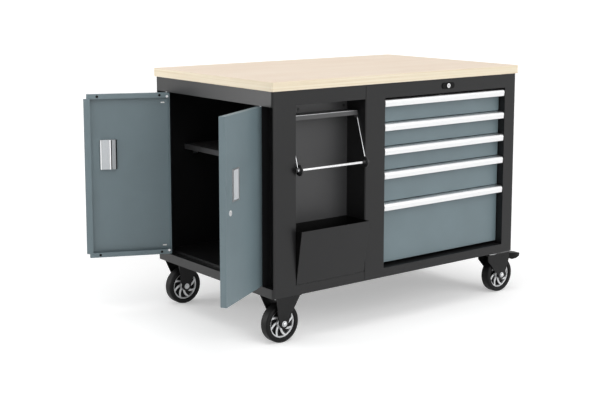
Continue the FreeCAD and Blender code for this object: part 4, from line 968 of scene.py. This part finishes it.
def fastenDoor(end, side):
    s, d = fastenerSizes, doorSizes
    corner = doorFrame(side)
    inward = corner.to_3x3() @ Vector((1, 0, 0))
    x, y = s["rivetPlace"]
    rivets = [corner @ Vector((x, side * y, height)) for height in (d["low"] + s["rivetIn"], d["high"] - s["rivetIn"])]
    placeFasteners(f"{end}DoorRivets", f"{end}_door_leaf", "rivet", rivets, inward, lockSatin, "zinc_steel")
    # black discs sunk in the lip holes, as painted shade
    holeShades = [corner @ Vector((d["lip"] - s["holeShadeSink"], side * along, height)) for along in d["holePlaces"]
             for height in (d["lipLow"], d["lipHigh"])]
    placeFasteners(f"{end}DoorHoleShades", f"{end}_door_leaf", "holeShade", holeShades, inward, bezelBlackAndShade, "black_plastic")


placeFasteners("castorBolts", "cabinet", "castor", castorBoltPlaces(), (0, 0, -1), zincBright, "zinc_steel")
placeFasteners("bracketScrews", "cabinet", "screw", fastenerSizes["screwPlaces"], (0, -1, 0), blackMoulding,
               "black_plastic")
for end, side in frontAndRear:
    fastenDoor(end, side)
print("fasteners placed")

# CAD nodes that stay as they are
shown = {"base_tray": blackCoat, "drawer_side_panels": blackCoat, "shelf_clips": zincBright,
         "door_hinge_pins": zincBright, "slide_outer_rails": zincBright}
for count in range(1, 6):
    shown[f"slide_middle_{count}"] = shown[f"slide_inner_{count}"] = zincBright
for node, material in shown.items():
    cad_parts[node].data.materials.clear()
    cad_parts[node].data.materials.append(material)

# studio: pale floor, white surround, soft light from the front and above, and a low glint from behind on the left
# a sun is the way toward it, its strength and its width in degrees
studio = {"suns": {"front": ((0.06, -0.93, 0.34), 1.95, 70), "left": ((-0.72, -0.20, 0.66), 0.22, 60),
                   "top": ((0, -0.12, 0.99), 1.0, 50)},
          "glint": (-2.6, 1.5, 0.9), "glintAim": (-0.6, 0, 0.6), "glintPower": 27, "glintSize": 1.4, "ambient": 0.31,
          "floorTone": 0.86, "floorRough": 0.9, "floorGlow": 0.33, "floorSize": 60}


def rayMix(tree):
    # one where the camera, a reflection or glass looks
    path = tree.nodes.new("ShaderNodeLightPath")
    first, second = tree.nodes.new("ShaderNodeMath"), tree.nodes.new("ShaderNodeMath")
    first.operation = second.operation = "MAXIMUM"
    tree.links.new(path.outputs["Is Camera Ray"], first.inputs[0])
    tree.links.new(path.outputs["Is Glossy Ray"], first.inputs[1])
    tree.links.new(first.outputs["Value"], second.inputs[0])
    tree.links.new(path.outputs["Is Transmission Ray"], second.inputs[1])
    return second.outputs["Value"]


def addLamp(name, kind, power, toward):
    lamp = bpy.data.lights.new(name, kind)
    lamp.energy = power
    holder = bpy.data.objects.new(name, lamp)
    holder.rotation_euler = Vector(toward).to_track_quat("Z", "Y").to_euler()
    scene.collection.objects.link(holder)
    return holder


def makeStudio():
    world = bpy.data.worlds.new("studioWhite")
    scene.world = world
    world.use_nodes = True
    tree = world.node_tree
    sky = tree.nodes["Background"]
    sky.inputs["Color"].default_value = (1, 1, 1, 1)
    tree.links.new(spread(tree, rayMix(tree), studio["ambient"], 1, 0, 1), sky.inputs["Strength"])
    bm = bmesh.new()
    bmesh.ops.create_grid(bm, x_segments=1, y_segments=1, size=studio["floorSize"])
    floor = objectFrom("studioFloor", bm)
    material, tree, shader = startMaterial("paleFloor")
    shader.inputs["Roughness"].default_value = studio["floorRough"]
    shader.inputs["Specular IOR Level"].default_value = 0
    tone = studio["floorTone"]
    shader.inputs["Base Color"].default_value = (tone, tone, tone, 1)
    shader.inputs["Emission Color"].default_value = (1, 1, 1, 1)
    tree.links.new(spread(tree, rayMix(tree), 0, studio["floorGlow"], 0, 1), shader.inputs["Emission Strength"])
    floor.data.materials.append(material)
    for name, (toward, strength, width) in studio["suns"].items():
        addLamp(name, "SUN", strength, toward).data.angle = math.radians(width)
    glint = addLamp("glint", "AREA", studio["glintPower"], Vector(studio["glint"]) - Vector(studio["glintAim"]))
    glint.data.size = studio["glintSize"]
    glint.location = studio["glint"]


makeStudio()

view = {"azimuth": 37.827, "pitch": 8.145, "lens": 71.10, "sensor": 36, "place": (-2.9199, -3.5172, 1.2838),
        "shift": -0.10}
camera = bpy.data.cameras.new("photoCamera")
camera.sensor_width = view["sensor"]
camera.lens = view["lens"]
camera.shift_y = view["shift"]
viewer = bpy.data.objects.new("photoCamera", camera)
viewer.location = view["place"]
viewer.rotation_euler = (math.radians(90 - view["pitch"]), 0, math.radians(-view["azimuth"]))
scene.collection.objects.link(viewer)
scene.camera = viewer
scene.view_settings.view_transform = "Standard"
print("studio and camera set")
